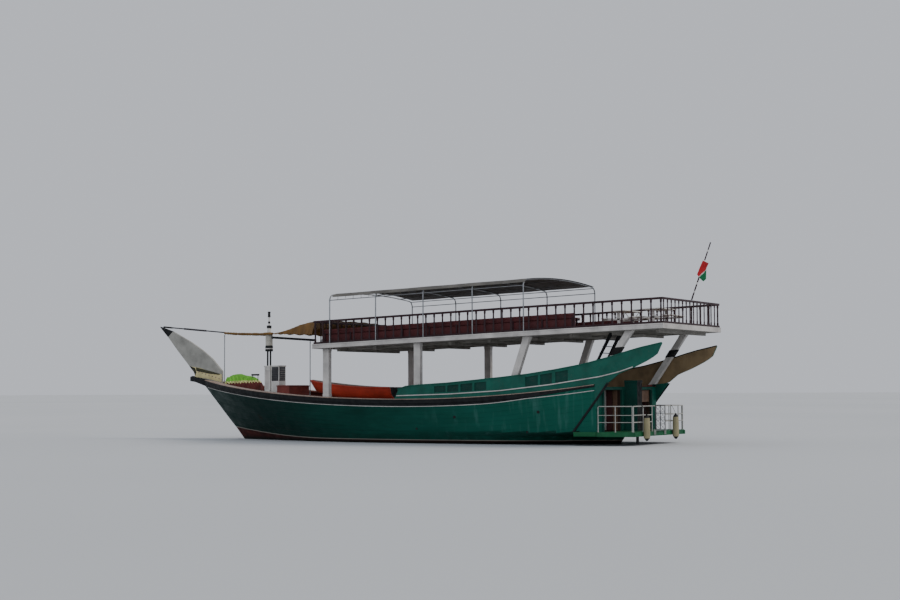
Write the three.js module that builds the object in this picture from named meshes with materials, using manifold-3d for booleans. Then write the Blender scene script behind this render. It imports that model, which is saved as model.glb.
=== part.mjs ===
// Wooden passenger dhow with an engine and an open upper deck, at full size in millimetres.
// +X points to the bow, +Y to port and +Z up. The origin is on the centreline at the waterline.
import * as THREE from 'three';
import { mergeVertices } from 'three/addons/utils/BufferGeometryUtils.js';
import Module from 'manifold-3d';

const wasm = await Module();
wasm.setup();

// Driving dimensions
const seatGap = 0.3;               // left between touching pieces
const hull = { midX: 2500, stemX: 15600, sternX: -6200, half: 3250, midSheer: 1850, knuckleZ: 500 };
const gunwale = {
  rise: 300,
  sternRise: 100,
  wall: 90,
  capWide: 450,
  capThick: 70,
  bandOut: 55,
  bandHigh: 200,
};
const bulwark = { frontX: 2610, tipX: -8980, tipZ: 3960, thick: 90 };
const upperDeck = {
  frontX: 6918,
  taperX: -1000,
  aftX: -9090,
  frontZ: 4190,
  aftZ: 4725,
  thick: 200,
  half: 3400,
  aftHalf: 3080,
  beamWide: 140,
  beamDeep: 130,
};
const rail = { high: 995, inset: 70, thick: 50, pitch: 400, bar: 60, topBar: 70, footGap: 80, endIn: 50 };
const bench = { foreX: 6500, aftX: -5400, high: 600, seatHigh: 420, deep: 480, board: 50, railGap: 70 };
const canopy = {
  frontX: 6026,
  bay: 2320,
  bays: 4,
  edgeZ: 6310,
  aftEdgeZ: 6620,
  edgeIn: 12,
  tube: 26,
  camber: 150,
  round: 300,
  drop: 270,
  roofBack: 120,
  roofOver: 60,
  roofLift: 1.2,
  roofThick: 30,
};
const platform = { frontX: -6200, aftX: -7640, frontHalf: 2950, half: 2550, topZ: 540, thick: 180 };
const platformRail = { high: 1020, tube: 22, inset: 60 };
const doorway = { innerY: 650, outerY: 2330, topZ: 2180, roomDeep: 1600, frame: 80 };
const companionway = { foreX: -5500, aftX: -6470, innerY: 940, outerY: 1860 };
const mast = { x: 11700, radius: 165, baseWide: 340, baseTop: 3360 };
const keel = { foreX: 11300, heelX: -7050, footZ: -1680, heelZ: -1480, wide: 200 };

const colours = {
  hullGreen: 0x1c5a4c,
  bulwarkGreen: 0x2a6a5a,
  platformGreen: 0x1f6b42,
  nearBlack: 0x17181a,
  bottomRed: 0x54201c,
  paleGrey: 0xb4b0ac,
  white: 0xcfccc4,
  maroon: 0x4a1a1c,
  deckBrown: 0x7a4a38,
  hatchRed: 0x7c3830,
  skiffOrange: 0xa84028,
  tan: 0x96784f,
  canopyGrey: 0x55524f,
  steel: 0xa9adb0,
  bronze: 0x8a6a3a,
  cream: 0xb0aa88,
  lime: 0x5fae3a,
  flagRed: 0xa03028,
};

const finish = (colour, roughness = 0.7, metalness = 0) =>
  new THREE.MeshStandardMaterial({ color: colour, roughness, metalness });

const dhow = new THREE.Group();
const addPiece = (name, geometry, material) => {
  const piece = new THREE.Mesh(geometry, material);
  piece.name = name;
  dhow.add(piece);
  return piece;
};

// Solids and booleans
const bare = (geometry) => {
  const copy = geometry.clone();
  for (const name of Object.keys(copy.attributes)) {
    if (name !== 'position') copy.deleteAttribute(name);
  }
  return mergeVertices(copy, 1e-3);
};

const toSolid = (geometry) => {
  const welded = bare(geometry);
  return new wasm.Manifold(new wasm.Mesh({
    numProp: 3,
    vertProperties: new Float32Array(welded.attributes.position.array),
    triVerts: new Uint32Array(welded.index.array),
  }));
};

const fromSolid = (solid) => {
  const result = solid.getMesh();
  const geometry = new THREE.BufferGeometry();
  geometry.setAttribute('position', new THREE.BufferAttribute(Float32Array.from(result.vertProperties), 3));
  geometry.setIndex(Array.from(result.triVerts));
  return geometry;
};

const join = (...shapes) => fromSolid(shapes.flat().map(toSolid).reduce((whole, next) => whole.add(next)));

const cut = (shape, ...tools) =>
  fromSolid(tools.flat().map(toSolid).reduce((whole, tool) => whole.subtract(tool), toSolid(shape)));

const mirrored = (geometry) => {
  const copy = bare(geometry);
  copy.scale(1, -1, 1);
  const index = copy.index.array;
  for (let i = 0; i < index.length; i += 3) {
    [index[i + 1], index[i + 2]] = [index[i + 2], index[i + 1]];
  }
  return copy;
};

const warped = (geometry, move) => {
  const copy = bare(geometry);
  const points = copy.attributes.position;
  const point = new THREE.Vector3();
  for (let i = 0; i < points.count; i += 1) {
    point.fromBufferAttribute(points, i);
    move(point);
    points.setXYZ(i, point.x, point.y, point.z);
  }
  return copy;
};

// Plain shapes, each given by its limits along X, Y and Z
const box = (x0, x1, y0, y1, z0, z1) => new THREE.BoxGeometry(x1 - x0, y1 - y0, z1 - z0)
  .translate((x0 + x1) / 2, (y0 + y1) / 2, (z0 + z1) / 2);

const vec = (x, y, z) => new THREE.Vector3(x, y, z);

const rod = (from, to, radius, sides = 6, endRadius = radius) => {
  const along = to.clone().sub(from);
  const turn = new THREE.Quaternion().setFromUnitVectors(vec(0, 1, 0), along.clone().normalize());
  const middle = from.clone().add(to).multiplyScalar(0.5);
  return new THREE.CylinderGeometry(endRadius, radius, along.length(), sides)
    .applyQuaternion(turn).translate(middle.x, middle.y, middle.z);
};

// A side view outline in X and Z, given its width in Y
const sideShape = (points, y0, y1) => {
  const shape = new THREE.Shape(points.map(([x, z]) => new THREE.Vector2(x, z)));
  return new THREE.ExtrudeGeometry(shape, { depth: y1 - y0, bevelEnabled: false, steps: 1 })
    .rotateX(Math.PI / 2).translate(0, y1, 0);
};

// Closed rings of equal count, joined by a skin and closed at both ends
const loft = (rings) => {
  const count = rings[0].length;
  const points = [];
  const faces = [];
  rings.forEach((ring) => ring.forEach((point) => points.push(point.x, point.y, point.z)));
  for (let r = 0; r + 1 < rings.length; r += 1) {
    for (let i = 0; i < count; i += 1) {
      const a = r * count + i;
      const b = r * count + (i + 1) % count;
      faces.push(a, b, b + count, a, b + count, a + count);
    }
  }
  [0, rings.length - 1].forEach((r) => {
    const face = rings[r].map((point) => new THREE.Vector2(point.y, point.z));
    const sameWay = r === 0 ? THREE.ShapeUtils.isClockWise(face) : !THREE.ShapeUtils.isClockWise(face);
    THREE.ShapeUtils.triangulateShape(face, []).forEach((triangle) => {
      const triangleIsClockwise = THREE.ShapeUtils.isClockWise(triangle.map((i) => face[i]));
      const [i, j, k] = triangle.map((corner) => corner + r * count);
      if (triangleIsClockwise === sameWay) faces.push(i, k, j);
      else faces.push(i, j, k);
    });
  });
  const geometry = new THREE.BufferGeometry();
  geometry.setAttribute('position', new THREE.Float32BufferAttribute(points, 3));
  geometry.setIndex(faces);
  return outward(geometry);
};

const outward = (geometry) => {
  const points = geometry.attributes.position;
  const index = geometry.index.array;
  const [a, b, c] = [vec(0, 0, 0), vec(0, 0, 0), vec(0, 0, 0)];
  let volume = 0;
  for (let i = 0; i < index.length; i += 3) {
    a.fromBufferAttribute(points, index[i]);
    b.fromBufferAttribute(points, index[i + 1]);
    c.fromBufferAttribute(points, index[i + 2]);
    volume += a.dot(b.cross(c));
  }
  if (volume < 0) {
    for (let i = 0; i < index.length; i += 3) {
      [index[i + 1], index[i + 2]] = [index[i + 2], index[i + 1]];
    }
  }
  return geometry;
};

const steps = (from, to, count) =>
  Array.from({ length: count + 1 }, (_, i) => from + (to - from) * i / count);

const bothSides = (name, geometry, material) => {
  addPiece(`${name}_port`, geometry, material);
  addPiece(`${name}_starboard`, mirrored(geometry), material);
};

// Lines of the hull
const sheerZ = (x) => {
  const metres = (x - hull.midX) / 1000;
  return hull.midSheer + (metres > 0 ? 5.5 : 7.3) * metres * metres;
};

const sheerHalf = (x) => {
  if (x > 2000) return hull.half * (1 - Math.min(1, (x - 2000) / (hull.stemX - 2000)) ** 2.83);
  return hull.half - 300 * ((2000 - x) / 11000) ** 1.6;
};

// The deck lies low amidships and comes up close under the cap at the stern
const deckZ = (x) => sheerZ(x) - gunwale.rise
  + (gunwale.rise - gunwale.sternRise) * THREE.MathUtils.smoothstep(-x, 1000, -hull.sternX);

// Stations of the hull, bow last: x at the deck, x at the keel, keel z, z above which it stands upright,
// half breadth near the waterline, half breadth at the knuckle, hollow of the bottom
const stations = [
  [-6200, -4900, -1400, 500, 110, 2900, 1.3],
  [-5300, -4500, -1450, 500, 800, 2960, 1.9],
  [-4000, -3800, -1480, 500, 1850, 2980, 1.5],
  [-2000, -2000, -1500, 500, 2600, 2990, 0.9],
  [1000, 1000, -1500, 500, 2900, 3010, 0.55],
  [4000, 4000, -1500, 500, 2850, 2920, 0.5],
  [7000, 6900, -1490, 500, 2450, 2550, 0.6],
  [9500, 8900, -1460, 2500, 1780, 1880, 0.8],
  [11500, 10200, -1420, 2500, 1080, 1180, 1.0],
  [13200, 11200, -1360, 2500, 520, 600, 1.1],
  [14400, 11700, -1280, 2500, 220, 260, 1.1],
  [15180, 11980, -1200, 2500, 75, 80, 1.0],
];

const stationXs = stations.map(([x]) => x);
const stationCurve = new THREE.CubicInterpolant(stationXs, stations.flatMap(([, ...rest]) => rest), 6);
const hullXs = steps(stations[0][0], stations[stations.length - 1][0], 24);

// Height of a line along the side where it runs straight from one hull section to the next
const chord = (line, x) => {
  const last = hullXs.length - 2;
  const i = Math.max(0, Math.min(last, hullXs.findIndex((next) => next > x) - 1));
  const share = (x - hullXs[i]) / (hullXs[i + 1] - hullXs[i]);
  return line(hullXs[i]) * (1 - share) + line(hullXs[i + 1]) * share;
};

const hullRing = (xTop) => {
  const [xKeel, zKeel, rakeTop, halfWater, halfKnuckle, hollow] = stationCurve.evaluate(xTop);
  const waterZ = 350;
  const topZ = deckZ(xTop);
  const topHalf = sheerHalf(xTop);
  const upright = Math.min(rakeTop, topZ);
  const rake = (z) => xTop + (xKeel - xTop) * Math.max(0, (upright - z) / (upright - zKeel));
  const keelHalf = Math.min(keel.wide / 2 + 10, halfWater);
  const half = [];
  [0, 0.12, 0.3, 0.5, 0.75, 1].forEach((u) => {
    half.push([keelHalf + (halfWater - keelHalf) * u ** hollow, zKeel + (waterZ - zKeel) * u]);
  });
  half.push([halfKnuckle, hull.knuckleZ]);
  [0.35, 0.7, 1].forEach((v) => {
    half.push([halfKnuckle + (topHalf - halfKnuckle) * v ** 0.8, hull.knuckleZ + (topZ - hull.knuckleZ) * v]);
  });
  const port = half.map(([y, z]) => vec(rake(z), y, z));
  const starboard = half.slice().reverse().map(([y, z]) => vec(rake(z), -y, z));
  return [...port, ...starboard];
};

const deckAt = (x) => chord(deckZ, x) + seatGap;

// A block that stands on the sloping main deck
const deckBlock = (x0, x1, y0, y1, top) =>
  sideShape([[x0, deckAt(x0)], [x1, deckAt(x1)], [x1, top], [x0, top]], y0, y1);

const hullBody = loft(hullXs.map(hullRing));

const makeHull = () => {
  const rooms = [1, -1].map((side) => {
    const [y0, y1] = [doorway.innerY * side, doorway.outerY * side].sort((a, b) => a - b);
    return box(hull.sternX - 200, hull.sternX + doorway.roomDeep, y0, y1, platform.topZ, doorway.topZ);
  });
  addPiece('hull', cut(hullBody, rooms), finish(colours.hullGreen));
};

// Keel under the hull, with a heel that runs aft below the propeller to the foot of the rudder
const makeKeel = () => {
  const top = hullXs.map((x) => stationCurve.evaluate(x).slice(0, 2))
    .filter(([x]) => x < keel.foreX).map(([x, z]) => [x, z - seatGap]);
  const bar = sideShape([
    ...top,
    [keel.foreX + 350, keel.footZ + 180],
    [keel.foreX - 900, keel.footZ],
    [keel.heelX, keel.footZ],
    [keel.heelX, keel.heelZ],
    [top[0][0] - 150, keel.heelZ],
  ], -keel.wide / 2, keel.wide / 2);
  addPiece('keel', bar, finish(colours.bottomRed));
};

// Gunwale: a low wall with a wide cap and a black rubbing band on its outer face
const gunwaleRing = (x) => {
  const y = sheerHalf(x);
  const z = sheerZ(x);
  const floor = deckZ(x) + seatGap;
  const bandFoot = Math.max(floor + 1, z - gunwale.bandHigh);
  const capIn = Math.min(gunwale.capWide, y * 0.7);
  const wallIn = Math.min(gunwale.wall, y * 0.4);
  return [
    vec(x, y, floor),
    vec(x, y, bandFoot),
    vec(x, y + gunwale.bandOut, bandFoot),
    vec(x, y + gunwale.bandOut, z),
    vec(x, y - capIn, z),
    vec(x, y - capIn, z - gunwale.capThick),
    vec(x, y - wallIn, z - gunwale.capThick),
    vec(x, y - wallIn, floor),
  ];
};

const makeGunwales = () => {
  bothSides('gunwale', loft(hullXs.map(gunwaleRing)), finish(colours.nearBlack));
};

const makeStem = () => {
  const root = hullXs[hullXs.length - 1] + 1;
  const headFoot = deckZ(root);
  const head = sideShape([
    [root, headFoot],
    [15900, 2640],
    [16250, 2680],
    [16250, 2900],
    [15850, 2850],
    [root, sheerZ(root)],
  ], -270, 270);
  addPiece('stem_head', warped(head, (point) => {
    point.y *= 1 - 0.6 * (point.x - root) / (16250 - root);
  }), finish(colours.nearBlack));
  addPiece('stem_blade', sideShape([
    [14380, deckAt(14380)],
    [root, headFoot + 1],
    [root, sheerZ(root) + 1],
    [15850, 2851],
    [15960, 2870],
    [16050, 3110],
    [16340, 3400],
    [17020, 4100],
    [17655, 4805],
    [17355, 5060],
    [16280, 4550],
    [15550, 4130],
    [14970, 3720],
    [14390, 3150],
  ], -60, 60), finish(colours.white));
  const tip = sideShape([[17655.3, 4805.3], [18160, 5310], [17355.3, 5060.3]], -75, 75);
  addPiece('stem_tip', tip, finish(colours.nearBlack));
};

// Bulwark with its wing: a plate that follows the side and runs out past the stern
const bulwarkTopZ = (x) => {
  const s = (bulwark.frontX - x) / 1000;
  return 2320 + 100 * s + 3.7 * s * s;
};

const wingEdge = new THREE.CubicBezierCurve(
  new THREE.Vector2(-7220, 2810),
  new THREE.Vector2(-8000, 2990),
  new THREE.Vector2(-8800, 3330),
  new THREE.Vector2(bulwark.tipX, bulwark.tipZ),
);

// Sunk panels of the bulwark: x of both ends
const panels = [
  [400, 950],
  [-200, 330],
  [-840, -280],
  [-1480, -920],
  [-3780, -3200],
  [-4390, -3870],
  [-5080, -4520],
];
const panel = { deep: 35, footUp: 225, topDown: 75 };

// The side runs aft of the end wall above this height, up to a raked edge
const quarter = { footX: -5240, footZ: 540, kneeX: -6200, kneeZ: 1730, headX: -6780, headZ: 2470 };

const makeBulwarks = () => {
  const side = [];
  const endX = bulwark.frontX + 250;
  side.push([endX, chord(sheerZ, endX) + seatGap]);
  hullXs.slice().reverse().filter((x) => x < endX).forEach((x) => side.push([x, sheerZ(x) + seatGap]));
  side[side.length - 1][0] = hull.sternX - seatGap;
  side.push([hull.sternX - seatGap, quarter.kneeZ], [quarter.headX, quarter.headZ]);
  wingEdge.getPoints(7).forEach((point) => side.push([point.x, point.y]));
  steps(-8100, bulwark.frontX - 300, 9).forEach((x) => side.push([x, bulwarkTopZ(x)]));
  side.push([bulwark.frontX + 100, 2220]);
  const pockets = panels.map(([x0, x1]) => sideShape([
    [x0, sheerZ(x0) + panel.footUp],
    [x1, sheerZ(x1) + panel.footUp],
    [x1, bulwarkTopZ(x1) - panel.topDown],
    [x0, bulwarkTopZ(x0) - panel.topDown],
  ], -panel.deep, panel.deep));
  const flat = cut(sideShape(side, -bulwark.thick, 0), pockets);
  const bent = warped(flat, (point) => { point.y += sheerHalf(point.x); });
  bothSides('bulwark', bent, finish(colours.bulwarkGreen));
};

// Raked moulding at the end of each side, with a ledge along its foot
const moulding = { wide: 110, out: 50, bite: 15, footY: 2965, kneeY: 3019, headY: 3041 };
const ledge = { lowZ: 360, highZ: 545, out: 75, foreX: -5250, foreY: 2960, aftY: 2900 };

const makeQuarters = () => {
  const w = moulding.wide / 2;
  const bar = sideShape([
    [quarter.footX - w, quarter.footZ],
    [quarter.footX + w, quarter.footZ],
    [quarter.kneeX + w, quarter.kneeZ],
    [quarter.headX + w, quarter.headZ - 40],
    [quarter.headX - w, quarter.headZ - 40],
    [quarter.kneeX - w, quarter.kneeZ],
  ], -moulding.bite, moulding.out);
  const raked = warped(bar, (point) => {
    const low = point.z < quarter.kneeZ;
    const [z0, z1] = low ? [quarter.footZ, quarter.kneeZ] : [quarter.kneeZ, quarter.headZ];
    const [y0, y1] = low ? [moulding.footY, moulding.kneeY] : [moulding.kneeY, moulding.headY];
    point.y += THREE.MathUtils.mapLinear(point.z, z0, z1, y0, y1);
  });
  const flatLedge = box(hull.sternX, ledge.foreX, -moulding.bite, ledge.out, ledge.lowZ, ledge.highZ);
  const foot = warped(flatLedge, (point) => {
    point.y += THREE.MathUtils.mapLinear(point.x, ledge.foreX, hull.sternX, ledge.foreY, ledge.aftY);
  });
  const whole = join(raked, foot);
  [['port', whole, seatGap], ['starboard', mirrored(whole), -seatGap]].forEach(([side, body, gap]) => {
    const clearOf = [
      hullBody.clone().translate(0, gap, 0),
      hullBody.clone().translate(-seatGap, gap, 0),
      dhow.getObjectByName(`bulwark_${side}`).geometry.clone().translate(0, gap, 0),
    ];
    addPiece(`quarter_moulding_${side}`, cut(body, clearOf), finish(colours.nearBlack));
  });
};

// Upper deck
const upperHalf = (x) => {
  const s = Math.max(0, (upperDeck.taperX - x) / (upperDeck.taperX - upperDeck.aftX));
  return upperDeck.half - (upperDeck.half - upperDeck.aftHalf) * s * s;
};

const upperTop = (x) => upperDeck.frontZ
  + (upperDeck.aftZ - upperDeck.frontZ) * (upperDeck.frontX - x) / (upperDeck.frontX - upperDeck.aftX);

const makeUpperDeck = () => {
  const xs = [upperDeck.frontX, ...steps(upperDeck.taperX, upperDeck.aftX, 8)];
  const rings = xs.map((x) => {
    const y = upperHalf(x);
    const z = upperTop(x);
    return [vec(x, y, z), vec(x, -y, z), vec(x, -y, z - upperDeck.thick), vec(x, y, z - upperDeck.thick)];
  });
  const { beamWide, beamDeep } = upperDeck;
  const beams = steps(6200, -8600, 8).map((x) =>
    box(x - beamWide / 2, x + beamWide / 2, -2450, 2450, -beamDeep, 30)
      .translate(0, 0, upperTop(x) - upperDeck.thick));
  const { foreX, aftX, innerY, outerY } = companionway;
  const hatch = box(aftX, foreX, innerY, outerY, 4200, 5000);
  addPiece('upper_deck', cut(join(loft(rings), beams), hatch), finish(colours.paleGrey));
};

// Pillars: name, side (1 port, -1 starboard), x at the foot, x at the head
const pillars = [
  ['a_port', 1, 6490, 6490],
  ['a_starboard', -1, 5780, 5780],
  ['b_port', 1, 1840, 1840],
  ['b_starboard', -1, 1840, 1840],
  ['c_port', 1, -2400, -3220],
  ['c_starboard', -1, -2400, -3220],
  ['d_port', 1, -6150, -7600],
  ['d_starboard', -1, -6150, -7600],
];

const pillarSize = { wide: 300, deep: 230, clear: 30 };

const makePillars = () => {
  pillars.forEach(([name, hand, footX, headX]) => {
    const footZ = (x) => chord(sheerZ, x) + seatGap;
    const headZ = (x) => upperTop(x) - upperDeck.thick - seatGap;
    const w = pillarSize.wide / 2;
    const side = [
      [footX - w, footZ(footX - w)],
      [footX + w, footZ(footX + w)],
      [headX + w, headZ(headX + w)],
      [headX - w, headZ(headX - w)],
    ];
    const inside = Math.min(sheerHalf(footX), sheerHalf(headX - w), upperHalf(headX)) - bulwark.thick;
    const outer = inside - pillarSize.clear;
    const pillar = sideShape(side, outer - pillarSize.deep, outer);
    addPiece(`pillar_${name}`, hand > 0 ? pillar : mirrored(pillar), finish(colours.paleGrey));
  });
};

// Railings of the upper deck: bars that stand between a foot rail and a top rail
const frontRailX = upperDeck.frontX - rail.endIn;
const aftRailX = upperDeck.aftX + rail.endIn;

const sideRail = (from, to) => {
  const y = (x) => upperHalf(x) - rail.inset;
  const z = (x) => upperTop(x) + seatGap;
  const runs = [[0, rail.footGap], [rail.high - rail.topBar, rail.high]].map(([low, high]) =>
    loft(steps(from, to, 12).map((x) => [
      vec(x, y(x), z(x) + low),
      vec(x, y(x), z(x) + high),
      vec(x, y(x) - rail.thick, z(x) + high),
      vec(x, y(x) - rail.thick, z(x) + low),
    ])));
  const bars = steps(from + rail.bar, to - rail.bar, Math.round((to - from) / rail.pitch)).map((x) => {
    const half = rail.bar / 2;
    return box(x - half, x + half, y(x) - rail.thick + 8, y(x) - 8, z(x) + 40, z(x) + rail.high - 30);
  });
  return join(runs, bars);
};

const crossRail = (x, half) => {
  const deep = rail.thick / 2;
  const w = rail.bar / 2;
  const z = upperTop(x - deep) + seatGap;
  const top = z + rail.high;
  const count = Math.round(2 * half / rail.pitch);
  const bars = steps(-half + rail.bar, half - rail.bar, count).map((y) =>
    box(x - deep + 8, x + deep - 8, y - w, y + w, z + 40, top - 30));
  return join(
    box(x - deep, x + deep, -half, half, z, z + rail.footGap),
    box(x - deep, x + deep, -half, half, top - rail.topBar, top),
    bars,
  );
};

const makeRails = () => {
  const material = finish(colours.maroon);
  bothSides('rail', sideRail(upperDeck.aftX + 25, upperDeck.frontX - 25), material);
  const clear = rail.inset + rail.thick + 1;
  addPiece('rail_aft', crossRail(aftRailX, upperHalf(aftRailX + rail.thick) - clear - 20), material);
  addPiece('rail_front', crossRail(frontRailX, upperHalf(frontRailX) - clear), material);
};

const makeBenches = () => {
  const profile = [
    [0, 0],
    [0, bench.high],
    [-bench.board, bench.high],
    [-bench.board, bench.seatHigh],
    [-bench.deep, bench.seatHigh],
    [-bench.deep, bench.seatHigh - bench.board],
    [-bench.board * 2, bench.seatHigh - bench.board],
    [-bench.board * 2, 0],
  ];
  const back = (x) => upperHalf(x) - rail.inset - rail.thick - bench.railGap;
  const rings = steps(bench.foreX, bench.aftX, 10).map((x) => profile.map(([y, z]) =>
    vec(x, back(x) + y, upperTop(x) + seatGap + z)));
  bothSides('bench', loft(rings), finish(colours.maroon));
};

// Tables with fixed seats on the aft part of the upper deck
const tables = [['picnic_table_a', -6200], ['picnic_table_b', -7700]];
const table = { half: 900, frameY: 700 };

// Parts of a table across the deck, and of each frame below it: x from, x to, z from, z to
const tableBoards = [[-400, 400, 700, 740], [-700, -450, 420, 455], [450, 700, 420, 455]];
const tableFrame = [[-690, 690, 350, 425], [-60, 60, 0, 705], [-500, 500, 0, 50]];

const makeTables = () => {
  const level = join(
    tableBoards.map(([x0, x1, z0, z1]) => box(x0, x1, -table.half, table.half, z0, z1)),
    [-table.frameY, table.frameY].map((y) =>
      tableFrame.map(([x0, x1, z0, z1]) => box(x0, x1, y - 25, y + 25, z0, z1))).flat(),
  );
  tables.forEach(([name, x]) => {
    const placed = warped(level, (point) => {
      point.x += x;
      point.z += upperTop(point.x) + seatGap;
    });
    addPiece(name, placed, finish(colours.white));
  });
};

// Canopy over the upper deck
const canopyEdgeZ = (x) => canopy.edgeZ
  + (canopy.aftEdgeZ - canopy.edgeZ) * (canopy.frontX - x) / (canopy.bay * canopy.bays);
const canopyHalf = (x) => upperHalf(x) - canopy.edgeIn;

// Line of a bow from port to starboard, round at both corners, moved out by a distance
const canopyLine = (x, out) => {
  const shoulder = canopyHalf(x) - canopy.round;
  const edgeZ = canopyEdgeZ(x);
  const reach = canopy.round + out;
  const corner = steps(0, Math.PI / 2, 3).map((a) =>
    [shoulder + reach * Math.cos(a), edgeZ - canopy.round + reach * Math.sin(a)]);
  const half = [...corner, [shoulder / 2, edgeZ + out + canopy.camber * 0.75]];
  const port = half.map(([y, z]) => vec(x, y, z));
  const starboard = half.slice().reverse().map(([y, z]) => vec(x, -y, z));
  return [...port, vec(x, 0, edgeZ + out + canopy.camber), ...starboard];
};

const makeCanopy = () => {
  const tubes = [];
  const bowRadius = canopy.tube * 0.98;
  const xs = steps(canopy.frontX, canopy.frontX - canopy.bay * canopy.bays, canopy.bays);
  xs.forEach((x) => {
    const bow = canopyLine(x, -bowRadius);
    [bow[0], bow[bow.length - 1]].forEach((head) => {
      const foot = vec(x, head.y, upperTop(x - canopy.tube) + seatGap);
      tubes.push(rod(foot, head, canopy.tube));
    });
    for (let i = 0; i + 1 < bow.length; i += 1) {
      tubes.push(rod(bow[i], bow[i + 1], bowRadius));
    }
  });
  for (let i = 0; i + 1 < xs.length; i += 1) {
    [-1, 1].forEach((side) => {
      const low = (x) => vec(x, side * (canopyHalf(x) - canopy.tube), canopyEdgeZ(x) - canopy.drop);
      const high = (x) => canopyLine(x, -bowRadius).at(side > 0 ? 2 : -3);
      [low, high].forEach((end) => tubes.push(rod(end(xs[i]), end(xs[i + 1]), canopy.tube * 0.8)));
    });
  }
  addPiece('canopy_frame', join(tubes), finish(colours.steel, 0.4, 0.6));

  const roofXs = [xs[0] - canopy.roofBack, ...xs.slice(1), xs[xs.length - 1] - canopy.roofOver];
  const roofRings = roofXs.map((x) => {
    const lower = canopyLine(x, canopy.roofLift).slice(1, -1);
    const upper = canopyLine(x, canopy.roofLift + canopy.roofThick).slice(1, -1).reverse();
    return [...lower, ...upper];
  });
  addPiece('canopy_roof', loft(roofRings), finish(colours.canopyGrey, 0.9));
};

// Awning from the front of the upper deck to the mast and on to the stem
const awning = {
  aftX: frontRailX + rail.thick / 2 + seatGap,
  cornerX: 7060,
  cornerZ: 4600,
  apexX: mast.x - mast.radius - seatGap,
  apexZ: 4805,
  half: 3200,
  apexHalf: 150,
  thick: 30,
};

// Heights along the awning's ridge, from the upper deck to the mast
const awningRidge = [5240, 5240, 5195, 4990, 4890, awning.apexZ];

// The awning's stay runs from the mast over a pole to the stem's tip
const stay = {
  mastClear: 3.6,
  mastZ: 4810,
  poleX: 14280,
  poleZ: 4915,
  tipX: 17950,
  tipZ: 5289,
  radius: 75,
  tipRadius: 42,
};
const boom = {
  heelClear: 4.3,
  heelZ: 4655,
  endX: 9080,
  endZ: 4480,
  radius: 55,
  poleX: 9400,
  poleTop: 4444.5,
};

const { lerp } = THREE.MathUtils;

const ridgeCurve = new THREE.LinearInterpolant(steps(0, 1, awningRidge.length - 1), awningRidge, 1);

// The awning is a tent: high along its middle, low along both side edges
const awningPoint = (t, u) => {
  const across = Math.abs(u);
  const half = lerp(awning.apexHalf, awning.half, (1 - t) ** 1.35);
  const [ridge] = ridgeCurve.evaluate(t);
  const edge = lerp(awning.cornerZ, awning.apexZ, t);
  return vec(
    lerp(lerp(awning.aftX, awning.cornerX, across), awning.apexX, t),
    half * u,
    lerp(ridge, edge, across ** 0.9),
  );
};

const makeAwning = () => {
  const rings = steps(0, 1, 10).map((t) => {
    const lower = steps(-1, 1, 8).map((u) => awningPoint(t, u));
    const upper = lower.slice().reverse().map((point) => point.clone().add(vec(0, 0, awning.thick)));
    return [...lower, ...upper];
  });
  addPiece('awning', loft(rings), finish(colours.tan, 0.9));
  const { mastZ, poleX, poleZ, tipX, tipZ, radius, tipRadius } = stay;
  const overPole = vec(poleX, 0, poleZ);
  addPiece('awning_stay', join(
    rod(vec(mast.x + mast.radius + stay.mastClear, 0, mastZ), overPole, radius),
    rod(overPole, vec(tipX, 0, tipZ), tipRadius),
  ), finish(colours.tan, 0.9));
  const pole = (x, top) => rod(vec(x, 0, deckAt(x + 25)), vec(x, 0, top), 25);
  addPiece('awning_pole', pole(poleX, poleZ - radius - 2), finish(colours.steel, 0.5, 0.5));
  addPiece('boom_pole', pole(boom.poleX, boom.poleTop), finish(colours.steel, 0.5, 0.5));
};

// Levels of the mast from its pipes to the lamp: foot, head, radius, sides
const mastLevels = [
  [4020, 4280, 180, 16],
  [4275, 4870, mast.radius, 16],
  [4865, 5090, 90, 12],
  [5085, 5215, 110, 16],
  [5210, 5600, 55, 12],
  [5595, 5860, 75, 12],
];

const makeMast = () => {
  const half = mast.baseWide / 2;
  const base = deckBlock(mast.x - half, mast.x + half, -half, half, mast.baseTop);
  addPiece('mast_base', base, finish(colours.white));
  const pipes = [-80, 80].map((x) =>
    rod(vec(mast.x + x, 0, mast.baseTop + seatGap), vec(mast.x + x, 0, mastLevels[0][0] + 40), 45));
  const levels = mastLevels.map(([foot, head, radius, sides]) =>
    rod(vec(mast.x, 0, foot), vec(mast.x, 0, head), radius, sides));
  addPiece('mast', join(pipes, levels), finish(colours.cream));
  const heel = vec(mast.x - mast.radius - boom.heelClear, 0, boom.heelZ);
  addPiece('boom', rod(heel, vec(boom.endX, 0, boom.endZ), boom.radius, 10), finish(colours.nearBlack));
};

// Gear at the bow under a cover: arched sections, low at both ends
const gearCover = { aftX: 12150, length: 1950, endHigh: 330, high: 810, endHalf: 120, half: 550 };

const cabinet = { aftX: 10930, foreX: 11400, half: 280, topZ: 3370 };
const foreHatch = { aftX: 9980, foreX: 10700, half: 800, topZ: 2450 };

const makeForedeck = () => {
  const standing = ({ aftX: x0, foreX: x1, half: y, topZ }) => deckBlock(x0, x1, -y, y, topZ);
  addPiece('deck_cabinet', standing(cabinet), finish(colours.white));
  addPiece('fore_hatch', standing(foreHatch), finish(colours.hatchRed));
  const { aftX, length, endHigh, high, endHalf, half } = gearCover;
  const cover = loft(steps(0, 1, 6).map((t) => {
    const x = aftX + length * t;
    const swell = Math.sin(Math.PI * Math.min(0.97, t + 0.03));
    const top = endHigh + (high - endHigh) * swell ** 0.6;
    const side = endHalf + (half - endHalf) * swell ** 0.5;
    return steps(0, Math.PI, 8).map((a) => vec(x, side * Math.cos(a), deckAt(x) + top * Math.sin(a)));
  }));
  addPiece('covered_anchor_gear', cover, finish(colours.lime, 0.9));
};

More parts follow.
